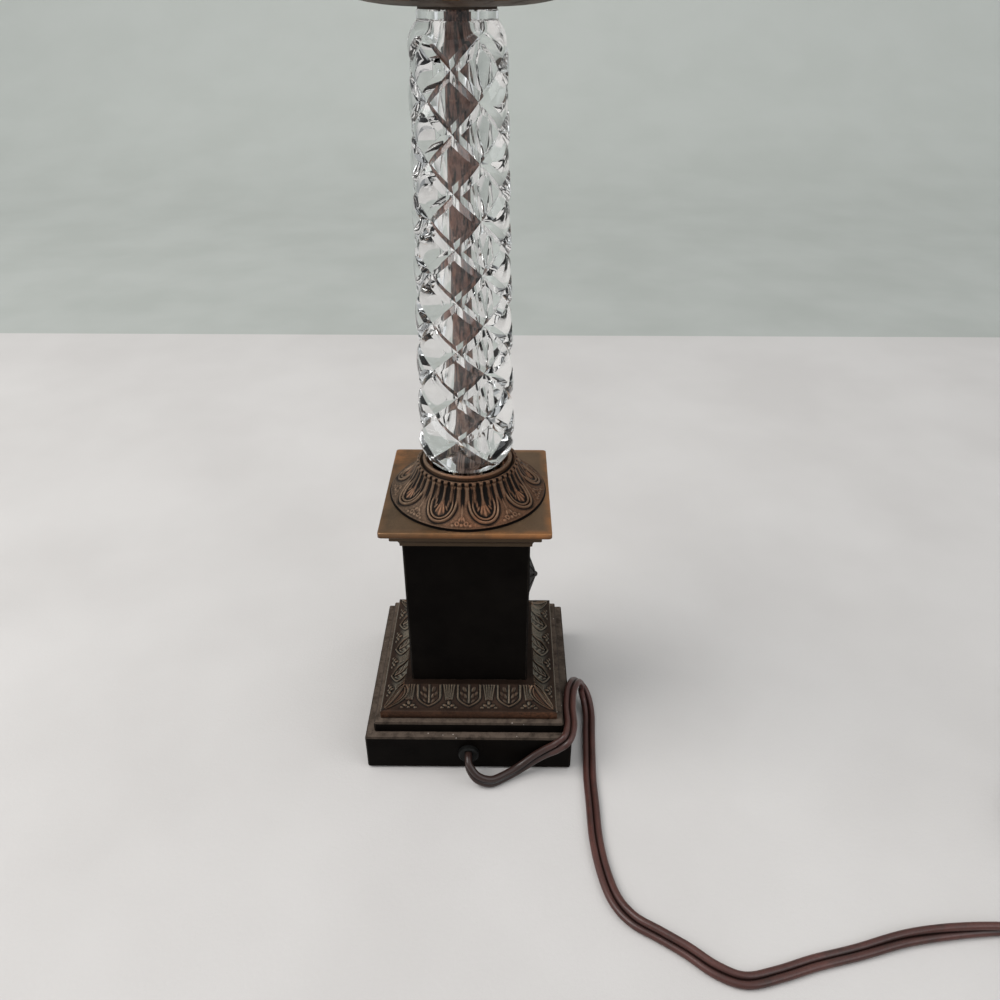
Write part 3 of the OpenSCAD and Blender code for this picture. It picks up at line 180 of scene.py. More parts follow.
def spline(points, steps):
    """A smooth line through points, with that many steps to a span."""
    p = np.array(points, float)
    p = np.vstack([2 * p[0] - p[1], p, 2 * p[-1] - p[-2]])
    made = []
    for i in range(1, len(p) - 2):
        a, b, c, d = p[i - 1:i + 3]
        for k in range(steps):
            t = k / steps
            made.append(0.5 * (2 * b + (c - a) * t + (2 * a - 5 * b + 4 * c - d) * t * t
                               + (3 * b - a - 3 * c + d) * t ** 3))
    made.append(p[-2])
    return made


def cord_line():
    """The whole cord's line with its roll: route, coil and tail."""
    near = coil_at(0)
    leads = [(near[0] - 2 * COIL_LEAD, near[1], near[2], 90), (near[0] - COIL_LEAD, near[1], near[2], 90)]
    line = [np.array(CORD_EXIT)] + spline(ROUTE + leads, 7)
    steps = 56
    line += [np.append(coil_at(i / steps), 90) for i in range(int(COIL_TURNS * steps) + 1)]
    end = coil_at(COIL_TURNS)
    heading = math.radians(COIL_START + 360 * COIL_TURNS + 90)
    along = np.array([math.cos(heading), math.sin(heading), 0])
    line.append(np.append(end, 90))
    start = end + COIL_LEAD * along
    last = end + (COIL_LEAD + TAIL_LENGTH) * along
    last[2] = PLUG_HALF_T
    lead = 0.002 * along
    a, b = start + lead, last - lead
    sag = np.array([0, 0, 0.0004])
    tail = [np.append(a, 90), np.append(a + (b - a) * 0.25 + sag, 85), np.append(a + (b - a) * 0.5, 50),
            np.append(a + (b - a) * 0.75 - sag, 10), np.append(b, 0)]
    line += [np.append(start, 90)] + spline(tail, 10) + [np.append(last, 0)]
    kept = [line[0]]
    for p in line[1:]:
        if np.linalg.norm(p[:3] - kept[-1][:3]) > 0.0002:
            kept.append(p)
    return np.array(kept)


def cord_section(count=15):
    """Half of the outline of two round cores side by side, and its mirror image."""
    r = CORD_T / 2
    x = CORD_W / 2 - r
    start = 152
    angles = np.radians(np.linspace(-start, start, count))
    right = np.stack([x + r * np.cos(angles), r * np.sin(angles)], axis=1)
    seam = np.array([[0, r * 0.24]])
    return np.vstack([right, seam, -right, -seam])


def tube_points(line, section):
    """Points of a tube along a line whose fourth value is the roll about it, in degrees."""
    p = line[:, :3]
    along = np.gradient(p, axis=0)
    along /= np.linalg.norm(along, axis=1)[:, None]
    side = np.cross([0, 0, 1], along)
    side /= np.linalg.norm(side, axis=1)[:, None]
    rise = np.cross(along, side)
    c, s = np.cos(np.radians(line[:, 3])), np.sin(np.radians(line[:, 3]))
    across = side * c[:, None] + rise * s[:, None]
    over = rise * c[:, None] - side * s[:, None]
    return p[:, None] + section[None, :, 0, None] * across[:, None] + section[None, :, 1, None] * over[:, None]


def closed_tube(rings):
    """Points and faces of a tube through rings, closed at both ends."""
    m, n = rings.shape[:2]
    faces = grid_faces(m, n, wrap_cols=True)
    faces.append(list(range(n))[::-1])
    faces.append([(m - 1) * n + i for i in range(n)])
    return rings.reshape(-1, 3), faces


def make_cord(material):
    line = cord_line()
    section = cord_section()
    points, faces = closed_tube(tube_points(line, section))
    # The seam value marks the crease between the cores, where the cord's material paints shade.
    seam = np.clip(1 - np.abs(section[:, 0]) / (0.16 * CORD_W), 0, 1)
    mesh = mesh_of("flat_cord", points / MM, faces, sharp=60, seam=np.tile(seam, len(line)))
    cord = link("flat_cord", mesh, replaces=("cord", "cord_coil", "cord_tail"),
                material=material)


# Materials


class Graph:
    """Builds the nodes of one material. Object coordinates in millimetres are in self.place."""

    def __init__(self, name):
        self.material = bpy.data.materials.new(name)
        self.material.use_nodes = True
        self.tree = self.material.node_tree
        self.tree.nodes.clear()
        coordinates = self.add("ShaderNodeTexCoord").outputs["Object"]
        self.place = self.vector("SCALE", coordinates, scale=1 / MM)

    def add(self, kind, inputs=(), **settings):
        node = self.tree.nodes.new(kind)
        for key, value in settings.items():
            setattr(node, key, value)
        for key, value in dict(inputs).items():
            self.set(node.inputs[key], value)
        return node

    def set(self, socket, value):
        if isinstance(value, bpy.types.NodeSocket):
            self.tree.links.new(value, socket)
        elif isinstance(value, tuple) and socket.type == "RGBA":
            socket.default_value = (*value, 1)
        else:
            socket.default_value = value

    def vector(self, operation, a, b=None, scale=None):
        node = self.add("ShaderNodeVectorMath", operation=operation)
        self.set(node.inputs[0], a)
        if b is not None:
            self.set(node.inputs[1], b)
        if scale is not None:
            node.inputs["Scale"].default_value = scale
        return node.outputs["Value" if operation == "DOT_PRODUCT" else "Vector"]

    def math(self, operation, a, b=None, clamp=False):
        node = self.add("ShaderNodeMath", operation=operation, use_clamp=clamp)
        self.set(node.inputs[0], a)
        if b is not None:
            self.set(node.inputs[1], b)
        return node.outputs[0]

    def noise(self, scale, detail=4, rough=0.55, stretch=(1, 1, 1), shift=0.0):
        """Noise from 0 to 1, with that many waves to a millimetre."""
        place = self.vector("MULTIPLY", self.place, stretch)
        place = self.vector("ADD", place, (shift, shift * 0.7, -shift))
        return self.add("ShaderNodeTexNoise", {"Vector": place, "Scale": scale, "Detail": detail,
                                               "Roughness": rough}).outputs["Fac"]

    def span(self, value, low, high, to_low=0.0, to_high=1.0):
        """The value's share of the way from low to high, kept within them."""
        return self.add("ShaderNodeMapRange", {"Value": value, "From Min": low, "From Max": high,
                                               "To Min": to_low, "To Max": to_high}).outputs["Result"]

    def parts(self, vector):
        """The three parts of a vector."""
        node = self.add("ShaderNodeSeparateXYZ", {"Vector": vector})
        return node.outputs["X"], node.outputs["Y"], node.outputs["Z"]

    def mix(self, share, a, b):
        node = self.add("ShaderNodeMix", data_type="RGBA")
        self.set(node.inputs["Factor"], share)
        self.set(node.inputs["A"], a)
        self.set(node.inputs["B"], b)
        return node.outputs[2]

    def blend(self, share, a, b):
        """The same mix for plain numbers."""
        node = self.add("ShaderNodeMix", data_type="FLOAT")
        self.set(node.inputs[0], share)
        self.set(node.inputs[2], a)
        self.set(node.inputs[3], b)
        return node.outputs[0]

    def edges(self, radius, low=0.02, high=0.35):
        """1 along outside edges, fading to 0 a little way in. The radius is in millimetres."""
        bevel = self.add("ShaderNodeBevel", {"Radius": radius * MM}, samples=6).outputs["Normal"]
        flat = self.add("ShaderNodeNewGeometry").outputs["Normal"]
        return self.span(self.math("SUBTRACT", 1.0, self.vector("DOT_PRODUCT", bevel, flat)), low, high)

    def relief(self):
        """The mesh's own relief value: 0 in a hollow, 0.5 on a plain stretch, 1 on a ridge; it is also set low for
        painted shadow at the dome's rim and round the plinth's foot.
        """
        return self.add("ShaderNodeAttribute", attribute_name="relief").outputs["Fac"]

    def bump(self, height, distance, strength=1.0, normal=None):
        inputs = {"Height": height, "Distance": distance * MM, "Strength": strength}
        if normal is not None:
            inputs["Normal"] = normal
        return self.add("ShaderNodeBump", inputs).outputs["Normal"]

    def surface(self, **inputs):
        """The shader itself, from Principled's input names with underscores for spaces."""
        shader = self.add("ShaderNodeBsdfPrincipled", {k.replace("_", " "): v for k, v in inputs.items()})
        self.add("ShaderNodeOutputMaterial", {"Surface": shader.outputs[0]})
        return self.material


def cast_bronze():
    """Cast bronze: dark in the hollows and in painted shadow at the dome's rim and the plinth's foot, brown on worn
    ridges, copper where worn through, a painted grey sheen on the sides of the low parts; the copper also carries a
    painted highlight on the dome's front and painted light inside its collar.
    """
    g = Graph("bronze")
    patches = g.noise(0.06, 5, 0.62)
    grain = g.noise(1.9, 5, 0.72)
    height = g.relief()
    x, _, z = g.parts(g.place)
    across, back, _ = g.parts(g.add("ShaderNodeNewGeometry").outputs["Normal"])
    copper_share = g.add("ShaderNodeAttribute", attribute_name="copper").outputs["Fac"]
    body = g.mix(g.span(patches, 0.36, 0.66), (0.026, 0.0135, 0.0085), (0.052, 0.029, 0.019))
    body = g.mix(g.span(z, 60, 130, 0.0, 0.72), body, g.mix(g.span(x, -26, 4), (0.180, 0.120, 0.080), (0.225, 0.112, 0.062)))
    # Painted sheen: the sides and backs of the low parts are painted grey, standing in for the reflection of the
    # bright backdrop.
    painted_side_sheen = g.math("MULTIPLY", g.span(g.math("MAXIMUM", g.math("ABSOLUTE", across), back), 0.3, 0.65),
                   g.span(z, 90, 50, 0.0, 0.85))
    body = g.mix(painted_side_sheen, body, (0.215, 0.203, 0.160))
    body = g.mix(g.span(grain, 0.38, 0.70, 0.0, 0.85), body, (0.024, 0.015, 0.011))
    worn = g.math("MULTIPLY", g.span(height, 0.56, 0.92), g.span(g.noise(0.16, 4, 0.6, shift=7), 0.25, 0.6))
    body = g.mix(g.math("MULTIPLY", worn, g.span(z, 60, 130, 0.42, 0.6)), body, (0.26, 0.175, 0.115))
    # Copper: real wear on the leaf tips and on the moulding's band and corners, painted highlight on the front of
    # the dome and its lip, and painted light inside the collar.
    copper_show = g.math("MULTIPLY", copper_share, g.span(g.noise(0.6, 6, 0.8, shift=3), 0.36, 0.66, 0.0, 0.75))
    body = g.mix(g.math("MULTIPLY", copper_show, g.span(height, 0.3, 0.6)), body, (0.34, 0.140, 0.070))
    # Near-black where relief is low: patina in the hollows, and painted shadow where the meshes mark it, at the
    # dome's rim flange and the ledge round the plinth's foot.
    body = g.mix(g.span(height, 0.49, 0.2), body, (0.006, 0.004, 0.003))
    normal = g.bump(grain, 0.26, 0.75)
    return g.surface(Base_Color=body, Metallic=0.5, Normal=normal, Specular_IOR_Level=0.15,
                     Roughness=g.blend(worn, g.span(grain, 0.3, 0.7, 0.42, 0.6), 0.34))


def plate_bronze():
    """The cap plate: smooth brown bronze, worn to copper along its edges and at one corner, with painted shade in
    the cove under it and a painted highlight along its top edge.
    """
    g = Graph("plate_bronze")
    patches = g.noise(0.05, 5, 0.6, shift=3)
    grain = g.noise(1.3, 5, 0.68)
    x, y, z = g.parts(g.place)
    body = g.mix(g.span(patches, 0.36, 0.62), (0.086, 0.056, 0.031), (0.165, 0.100, 0.056))
    body = g.mix(g.span(x, 5, 38, 0.0, 0.55), body, (0.230, 0.135, 0.075))
    body = g.mix(g.span(grain, 0.3, 0.8, 0.0, 0.4), body, (0.055, 0.038, 0.025))
    # Painted shade: the cove under the plate's overhang is painted darker.
    under = g.span(z, PLATE_UNDER_Z + 0.4, PLATE_UNDER_Z - 0.2)
    body = g.mix(under, body, (0.060, 0.038, 0.021))
    near_edge = g.span(g.math("MAXIMUM", g.math("ABSOLUTE", x), g.math("ABSOLUTE", y)), 36.8, 41.0)
    right = g.span(x, -38.0, 34.0, 0.3, 1.0)
    left_back = g.math("MULTIPLY", g.span(x, -22, -38), g.span(y, 6, 30))
    rub = g.math("MAXIMUM", g.math("MULTIPLY", near_edge, right), g.math("MULTIPLY", left_back, 0.95))
    rub = g.math("MULTIPLY", rub, g.span(g.noise(0.11, 5, 0.65, shift=11), 0.28, 0.6))
    rub = g.math("MULTIPLY", rub, g.span(z, PLATE_UNDER_Z - 0.1, PLATE_UNDER_Z + 0.3))
    body = g.mix(g.math("MULTIPLY", rub, 0.75), body, (0.46, 0.185, 0.060))
    # The top rounded edge: bright worn metal, and a painted highlight line that grows brighter to the right.
    edge = g.math("MULTIPLY", g.edges(1.3, 0.01, 0.2), g.span(g.noise(0.07, 4, 0.6, shift=21), 0.25, 0.5))
    edge = g.math("MULTIPLY", edge, g.span(z, PLATE_UNDER_Z + 1.7, PLATE_UNDER_Z + 2.7))
    face = g.math("MULTIPLY", g.span(z, PLATE_UNDER_Z + 2.2, PLATE_UNDER_Z + 0.6, 0.0, 0.8), near_edge)
    body = g.mix(face, body, (0.070, 0.032, 0.014))
    body = g.mix(edge, body, g.mix(g.span(x, -30, 40), (0.50, 0.26, 0.10), (0.82, 0.48, 0.20)))
    return g.surface(Base_Color=body, Metallic=0.7, Normal=g.bump(grain, 0.05, 0.4), Specular_IOR_Level=0.5,
                     Roughness=g.blend(rub, g.span(grain, 0.3, 0.7, 0.36, 0.5), 0.3))


def black_iron():
    """Near-black painted metal: brown-grey ledges that are part dust and part painted sheen, with pale specks, worn
    edges, dark walls.
    """
    g = Graph("black_metal")
    broad = g.noise(0.05, 5, 0.6)
    grain = g.noise(1.5, 5, 0.72)
    normal = g.add("ShaderNodeNewGeometry").outputs["Normal"]
    upward = g.vector("DOT_PRODUCT", normal, (0, 0, 1))
    body = g.mix(g.span(broad, 0.35, 0.65), (0.0024, 0.0018, 0.0015), (0.0048, 0.0038, 0.0031))
    body = g.mix(g.span(grain, 0.5, 0.75, 0.0, 0.35), body, (0.0085, 0.0065, 0.0052))
    # Upward faces brown-grey: real dust, and painted sheen standing in for the grazing reflection of the bright
    # surroundings.
    dust_and_sheen = g.math("MULTIPLY", g.span(upward, 0.5, 0.95), g.span(g.noise(0.2, 6, 0.75, shift=5), 0.22, 0.56))
    body = g.mix(g.math("MULTIPLY", dust_and_sheen, 0.88), body, (0.118, 0.089, 0.070))
    worn = g.math("MULTIPLY", g.edges(0.8), g.span(g.noise(0.4, 5, 0.7, shift=9), 0.40, 0.60))
    body = g.mix(g.math("MULTIPLY", worn, 0.75), body, (0.155, 0.115, 0.088))
    cells = g.add("ShaderNodeTexVoronoi", {"Vector": g.place, "Scale": 0.21, "Randomness": 1.0})
    specks = g.math("MULTIPLY", g.span(cells.outputs["Distance"], 0.085, 0.05), g.span(upward, 0.5, 0.9))
    body = g.mix(specks, body, (0.46, 0.40, 0.36))
    return g.surface(Base_Color=body, Metallic=0.0, Normal=g.bump(grain, 0.06, 0.45), IOR=1.45,
                     Specular_IOR_Level=0.03, Roughness=g.blend(dust_and_sheen, g.span(grain, 0.3, 0.7, 0.34, 0.5), 0.66))


def clear_glass():
    g = Graph("crystal")
    swirl = g.noise(0.02, 2, 0.5)
    return g.surface(Base_Color=g.mix(swirl, (0.970, 0.980, 0.975), (0.992, 0.995, 0.990)), Roughness=0.0,
                     IOR=GLASS_IOR, Transmission_Weight=1.0)


def cord_vinyl():
    """Reddish-brown vinyl, darker near the lamp, with dirty patches, a soft shine and painted shade in the seam
    between its cores.
    """
    g = Graph("cord_vinyl")
    broad = g.noise(0.024, 5, 0.62)
    fine = g.noise(1.1, 5, 0.65)
    x, _, _ = g.parts(g.place)
    seam = g.add("ShaderNodeAttribute", attribute_name="seam").outputs["Fac"]
    body = g.mix(g.span(broad, 0.35, 0.65), (0.050, 0.0165, 0.0130), (0.098, 0.036, 0.029))
    body = g.mix(g.span(x, 62, 30, 0.0, 0.85), body, (0.022, 0.0125, 0.0100))
    body = g.mix(g.span(fine, 0.42, 0.75, 0.0, 0.5), body, (0.020, 0.010, 0.008))
    dirt = g.span(g.noise(0.09, 4, 0.7, shift=6), 0.52, 0.68, 0.0, 0.55)
    body = g.mix(dirt, body, (0.022, 0.015, 0.012))
    # Painted shade: the crease between the two cores is painted near-black.
    body = g.mix(g.math("MULTIPLY", seam, 0.9), body, (0.006, 0.004, 0.0035))
    return g.surface(Base_Color=body, Roughness=g.span(fine, 0.3, 0.7, 0.25, 0.42), IOR=1.5,
                     Specular_IOR_Level=0.42, Normal=g.bump(fine, 0.05, 0.45))


def aged_metal(name, low, high, tarnish, rough=0.3, grain_scale=0.9, wear=None, metallic=0.95, shine=0.5):
    """Turned or drawn metal: two tones, tarnish in patches, bright worn edges."""
    g = Graph(name)
    broad = g.noise(0.06, 5, 0.6)
    grain = g.noise(grain_scale, 4, 0.6, stretch=(1, 1, 6))
    body = g.mix(g.span(broad, 0.35, 0.65), low, high)
    dull = g.span(g.noise(0.13, 5, 0.7, shift=4), 0.5, 0.72)
    body = g.mix(g.math("MULTIPLY", dull, 0.75), body, tarnish)
    if wear:
        body = g.mix(g.math("MULTIPLY", g.edges(0.5), 0.7), body, wear)
    return g.surface(Base_Color=body, Metallic=metallic, Normal=g.bump(grain, 0.03, 0.5),
                     Specular_IOR_Level=shine, Roughness=g.blend(dull, rough, rough + 0.22))


def pipe_metal():
    """The pipe in the glass: dull purple-brown with near-black streaks, paler towards its foot as painted light for
    the light that comes down the glass.
    """
    g = Graph("pipe_metal")
    streak = g.noise(0.75, 5, 0.65, stretch=(1, 1, 0.16))
    patches = g.noise(0.2, 5, 0.7)
    _, _, z = g.parts(g.place)
    # Painted light: paler towards the foot, standing in for the light that comes down the glass.
    copper_show = g.mix(g.span(z, 230, 160), (0.270, 0.135, 0.098), (0.380, 0.260, 0.205))
    body = g.mix(g.span(streak, 0.44, 0.56), (0.014, 0.007, 0.006), copper_show)
    body = g.mix(g.span(patches, 0.48, 0.66, 0.0, 0.75), body, (0.070, 0.030, 0.022))
    body = g.mix(g.span(g.noise(0.5, 4, 0.7, shift=13), 0.58, 0.70), body, (0.40, 0.24, 0.18))
    return g.surface(Base_Color=body, Metallic=0.0, Roughness=g.span(streak, 0.3, 0.7, 0.4, 0.6),
                     Specular_IOR_Level=0.25, Normal=g.bump(streak, 0.08, 0.6))


def plain_stuff(name, low, high, rough, scale=0.5, bump=0.05, shine=0.5):
    """Plastic, card, cork or felt: two close tones, a grain and its roughness."""
    g = Graph(name)
    grain = g.noise(scale, 5, 0.65)
    broad = g.noise(scale * 0.12, 3, 0.5, shift=2)
    body = g.mix(g.span(grain, 0.3, 0.72), low, high)
    body = g.mix(g.span(broad, 0.4, 0.7, 0.0, 0.35), body, low)
    return g.surface(Base_Color=body, Specular_IOR_Level=shine, Normal=g.bump(grain, bump, 0.6),
                     Roughness=g.span(grain, 0.3, 0.7, rough - 0.06, rough + 0.08))


# Glass column

COL_ROUND, COL_HALF, COL_ROWS = 5, 10.9, 16
COL_R_LOW, COL_R_TOP = 23.4, 19.4
NECK_LOW_R, NECK_TOP_R, NECK_LOW_H = 17.6, 15.5, 7.2
NECK_LEDGE = 0.4
SHOULDER_LOW_H, SHOULDER_TOP_H = 12.5, 8.8
BORE_R = 7.5
GLASS_IOR = 1.54
GROOVE_TURN = 28.5
PILLOW_D, GROOVE_D = 1.8, 1.2
CUT_STEPS = 16
GROOVE_STEPS = 5
PATTERN_H = COL_ROWS * COL_HALF
BODY_LOW = -0.6 * SHOULDER_LOW_H
BODY_HIGH = PATTERN_H + SHOULDER_TOP_H / 2


def body_r(z):
    """Radius of the uncut glass at a height above the pattern's foot."""
    taper = COL_R_LOW + (COL_R_TOP - COL_R_LOW) * np.clip(z / PATTERN_H, 0, 1)
    low = np.maximum(0, BODY_LOW + SHOULDER_LOW_H - z) / SHOULDER_LOW_H
    high = np.maximum(0, z - BODY_HIGH + SHOULDER_TOP_H) / SHOULDER_TOP_H
    drop_low = (COL_R_LOW - NECK_LOW_R - NECK_LEDGE) * low ** 2
    drop_high = (COL_R_TOP - NECK_TOP_R - NECK_LEDGE) * high ** 2
    return taper - drop_low - drop_high


def cut_depth(u, z):
    """Depth of the crossed cuts: cushions between V grooves, which run out over both shoulders."""
    v = z / COL_HALF
    a = np.abs((u - v) / 2 - np.round((u - v) / 2)) * 2
    b = np.abs((u + v) / 2 - np.round((u + v) / 2)) * 2
    pillow = ((1 - a) ** 2 + (1 - b) ** 2) / 2
    groove = np.clip(1 - np.minimum(a, b) * CUT_STEPS / GROOVE_STEPS, 0, 1)
    pillow = PILLOW_D * pillow * smooth((z + 0.5) / (0.6 * SHOULDER_LOW_H))
    groove = GROOVE_D * groove * smooth((z + 5.5) / (0.4 * SHOULDER_LOW_H))
    return (pillow + groove) * smooth((PATTERN_H + 0.3 * SHOULDER_TOP_H - z) / (0.8 * SHOULDER_TOP_H))


def make_column(material):
    low, high = size_of("crystal_column")
    foot = low[2] + NECK_LOW_H - BODY_LOW
    n = CUT_STEPS
    step = COL_HALF / n
    first, last = math.floor(BODY_LOW / step) + 1, math.ceil(BODY_HIGH / step) - 1
    level_no = np.arange(first, last + 1)
    levels = np.concatenate([[BODY_LOW], level_no * step, [BODY_HIGH]])
    cols = 2 * COL_ROUND * n
    z = np.repeat(levels[:, None], cols, axis=1)
    u = np.repeat(np.arange(cols)[None] / n, len(levels), axis=0)
    r = body_r(z) - cut_depth(u, z)
    angle = np.radians(180 / COL_ROUND * u + GROOVE_TURN - 90)
    rows = [np.stack([r * np.cos(angle), r * np.sin(angle), z + foot], axis=-1)]

    def ring(radius, at):
        a = angle[0]
        return np.stack([radius * np.cos(a), radius * np.sin(a), np.full(cols, at)], axis=-1)[None]

    ease = 0.5
    below = [ring(NECK_LOW_R, foot + BODY_LOW - 0.3), ring(NECK_LOW_R, low[2] + ease),
             ring(NECK_LOW_R - ease, low[2]), ring(BORE_R + ease, low[2]), ring(BORE_R, low[2] + ease)]
    above = [ring(NECK_TOP_R, foot + BODY_HIGH + 0.3), ring(NECK_TOP_R, high[2] - ease),
             ring(NECK_TOP_R - ease, high[2]), ring(BORE_R + ease, high[2]), ring(BORE_R, high[2] - ease)]
    points = np.concatenate(below[::-1] + rows + above)
    start = len(below) + 1
    faces = []
    for q in grid_faces(len(points), cols, wrap_rows=True, wrap_cols=True):
        row, col = divmod(q[0], cols)
        level = row - start + first
        if 0 <= row - start < len(level_no) - 1:
            if (col // n + level // n) % 2 == 0:
                faces += [[q[0], q[1], q[2]], [q[0], q[2], q[3]]]
            else:
                faces += [[q[0], q[1], q[3]], [q[1], q[2], q[3]]]
        else:
            faces.append(q)
    mesh = mesh_of("glass_column", points.reshape(-1, 3), faces, sharp=22)
    link("glass_column", mesh, replaces=("crystal_column",), material=material)


# Dome of leaves

DOME_R, DOME_TOP_R, DOME_H, DOME_HOLLOW = 39.4, 24.3, 16.4, 2.2
COLLAR_R, COLLAR_H, SEAT_DEPTH = 20.2, 3.2, 8.6
LIP_R, RING_R = 0.9, 1.1
HOLE_R = 5.5
LEAVES, LEAF_HALF_W, LEAF_TURN = 9, 7.6, 17.5
LEAF_TIP_R = 36.8
FLUTES = 5 * LEAVES
FLUTE_END_R = 30.5


def hollow_r(a, b, dip):
    """Radius of the arc that dips by a depth between two points."""
    half = math.dist(a, b) / 2
    return (half ** 2 + dip ** 2) / (2 * dip)


def arc_between(a, b, radius, count):
    """Points of the arc from a to b whose centre is on the left of the way from a to b."""
    a, b = np.array(a, float), np.array(b, float)
    half = np.linalg.norm(b - a) / 2
    left = np.array([-(b - a)[1], (b - a)[0]]) / (2 * half)
    centre = (a + b) / 2 + left * math.sqrt(radius ** 2 - half ** 2)
    t0 = math.atan2(*(a - centre)[::-1])
    t1 = math.atan2(*(b - centre)[::-1])
    turn = (t1 - t0 + math.pi) % (2 * math.pi) - math.pi
    t = t0 + turn * np.linspace(0, 1, count)
    return centre + radius * np.stack([np.cos(t), np.sin(t)], axis=1)


def round_arc(x, z, radius, a0, a1, count):
    t = np.radians(np.linspace(a0, a1, count))
    return np.stack([x + radius * np.cos(t), z + radius * np.sin(t)], axis=1)


def folded(angle, pitch):
    """An angle taken to the nearest of a row of places that are a pitch apart."""
    return (angle + pitch / 2) % pitch - pitch / 2


def lobe(x, y, at, half, tilt, height):
    """A small rounded lobe: an ellipse with its long half along the tilt, in degrees from y."""
    c, s = math.cos(math.radians(tilt)), math.sin(math.radians(tilt))
    dx, dy = x - at[0], y - at[1]
    across, along = dx * c - dy * s, dx * s + dy * c
    q = (across / half[0]) ** 2 + (along / half[1]) ** 2
    return height * np.sqrt(np.clip(1 - q, 0, 1))


def leaf_relief(radius, angle):
    """Height of the leaves and sprigs on the dome, and where their tips are worn through to copper."""
    pitch = 360 / LEAVES
    x = np.radians(folded(angle + 90 - LEAF_TURN, pitch)) * radius
    middle = LEAF_TIP_R - LEAF_HALF_W
    narrow = 1 - 0.1 * np.clip((middle - radius) / (middle - DOME_TOP_R), 0, 1)
    q = np.where(radius > middle, np.hypot(x, radius - middle), np.abs(x) / narrow)
    inside = LEAF_HALF_W - q
    height = ridge(inside - 0.75, 1.4, 1.0) + ridge(inside - 2.25, 1.05, 0.8)
    hollow = smooth((inside - 2.7) / 0.5)
    y = radius - middle
    bulb = lobe(x, y, (0, 1.6), (2.9, 3.4), 0, 0.4)
    marks = np.maximum(bulb, ridge(x, 0.8, 0.8) * smooth((1.0 - y) / 2.0))
    for at, half, tilt in (((0, 2.0), (0.75, 2.6), 0), ((-1.5, 1.5), (0.6, 2.1), -24), ((1.5, 1.5), (0.6, 2.1), 24),
                           ((-2.8, 0.9), (0.5, 1.5), -42), ((2.8, 0.9), (0.5, 1.5), 42)):
        marks = np.maximum(marks, lobe(x, y, at, half, tilt, 0.75))
    for way in (-1, 1):
        for at, half, tilt in (((3.0, -0.6), (0.7, 1.7), 20), ((2.4, -3.4), (0.65, 1.6), 24),
                               ((1.7, -6.0), (0.6, 1.5), 22)):
            marks = np.maximum(marks, lobe(x, y, (way * at[0], at[1]), half, way * tilt, 0.65))
    height += hollow * (marks - 0.3)
    copper_show = hollow * smooth((bulb - 0.08) / 0.3)
    height = np.where(inside > 0, height, 0)
    gap = np.radians(folded(angle + 90 - LEAF_TURN + pitch / 2, pitch)) * radius
    outer = radius - 35.4
    sprig = lobe(gap, outer, (0, 1.0), (0.75, 0.75), 0, 0.5) + ridge(gap, 0.8, 0.25) * smooth(-outer / 1.5)
    for way in (-1, 1):
        curl = np.hypot(gap - way * 2.2, outer - 0.5)
        sprig += ridge(curl - 0.85, 0.75, 0.35)
        sprig += lobe(gap, outer, (way * 4.3, 1.3), (0.8, 0.6), 0, 0.5)
        sprig += lobe(gap, outer, (way * 1.0, -1.6), (0.5, 1.2), way * 28, 0.45)
    height += np.where(inside < -0.15, sprig * smooth((-inside - 0.15) / 0.4), 0)
    return height, copper_show, inside


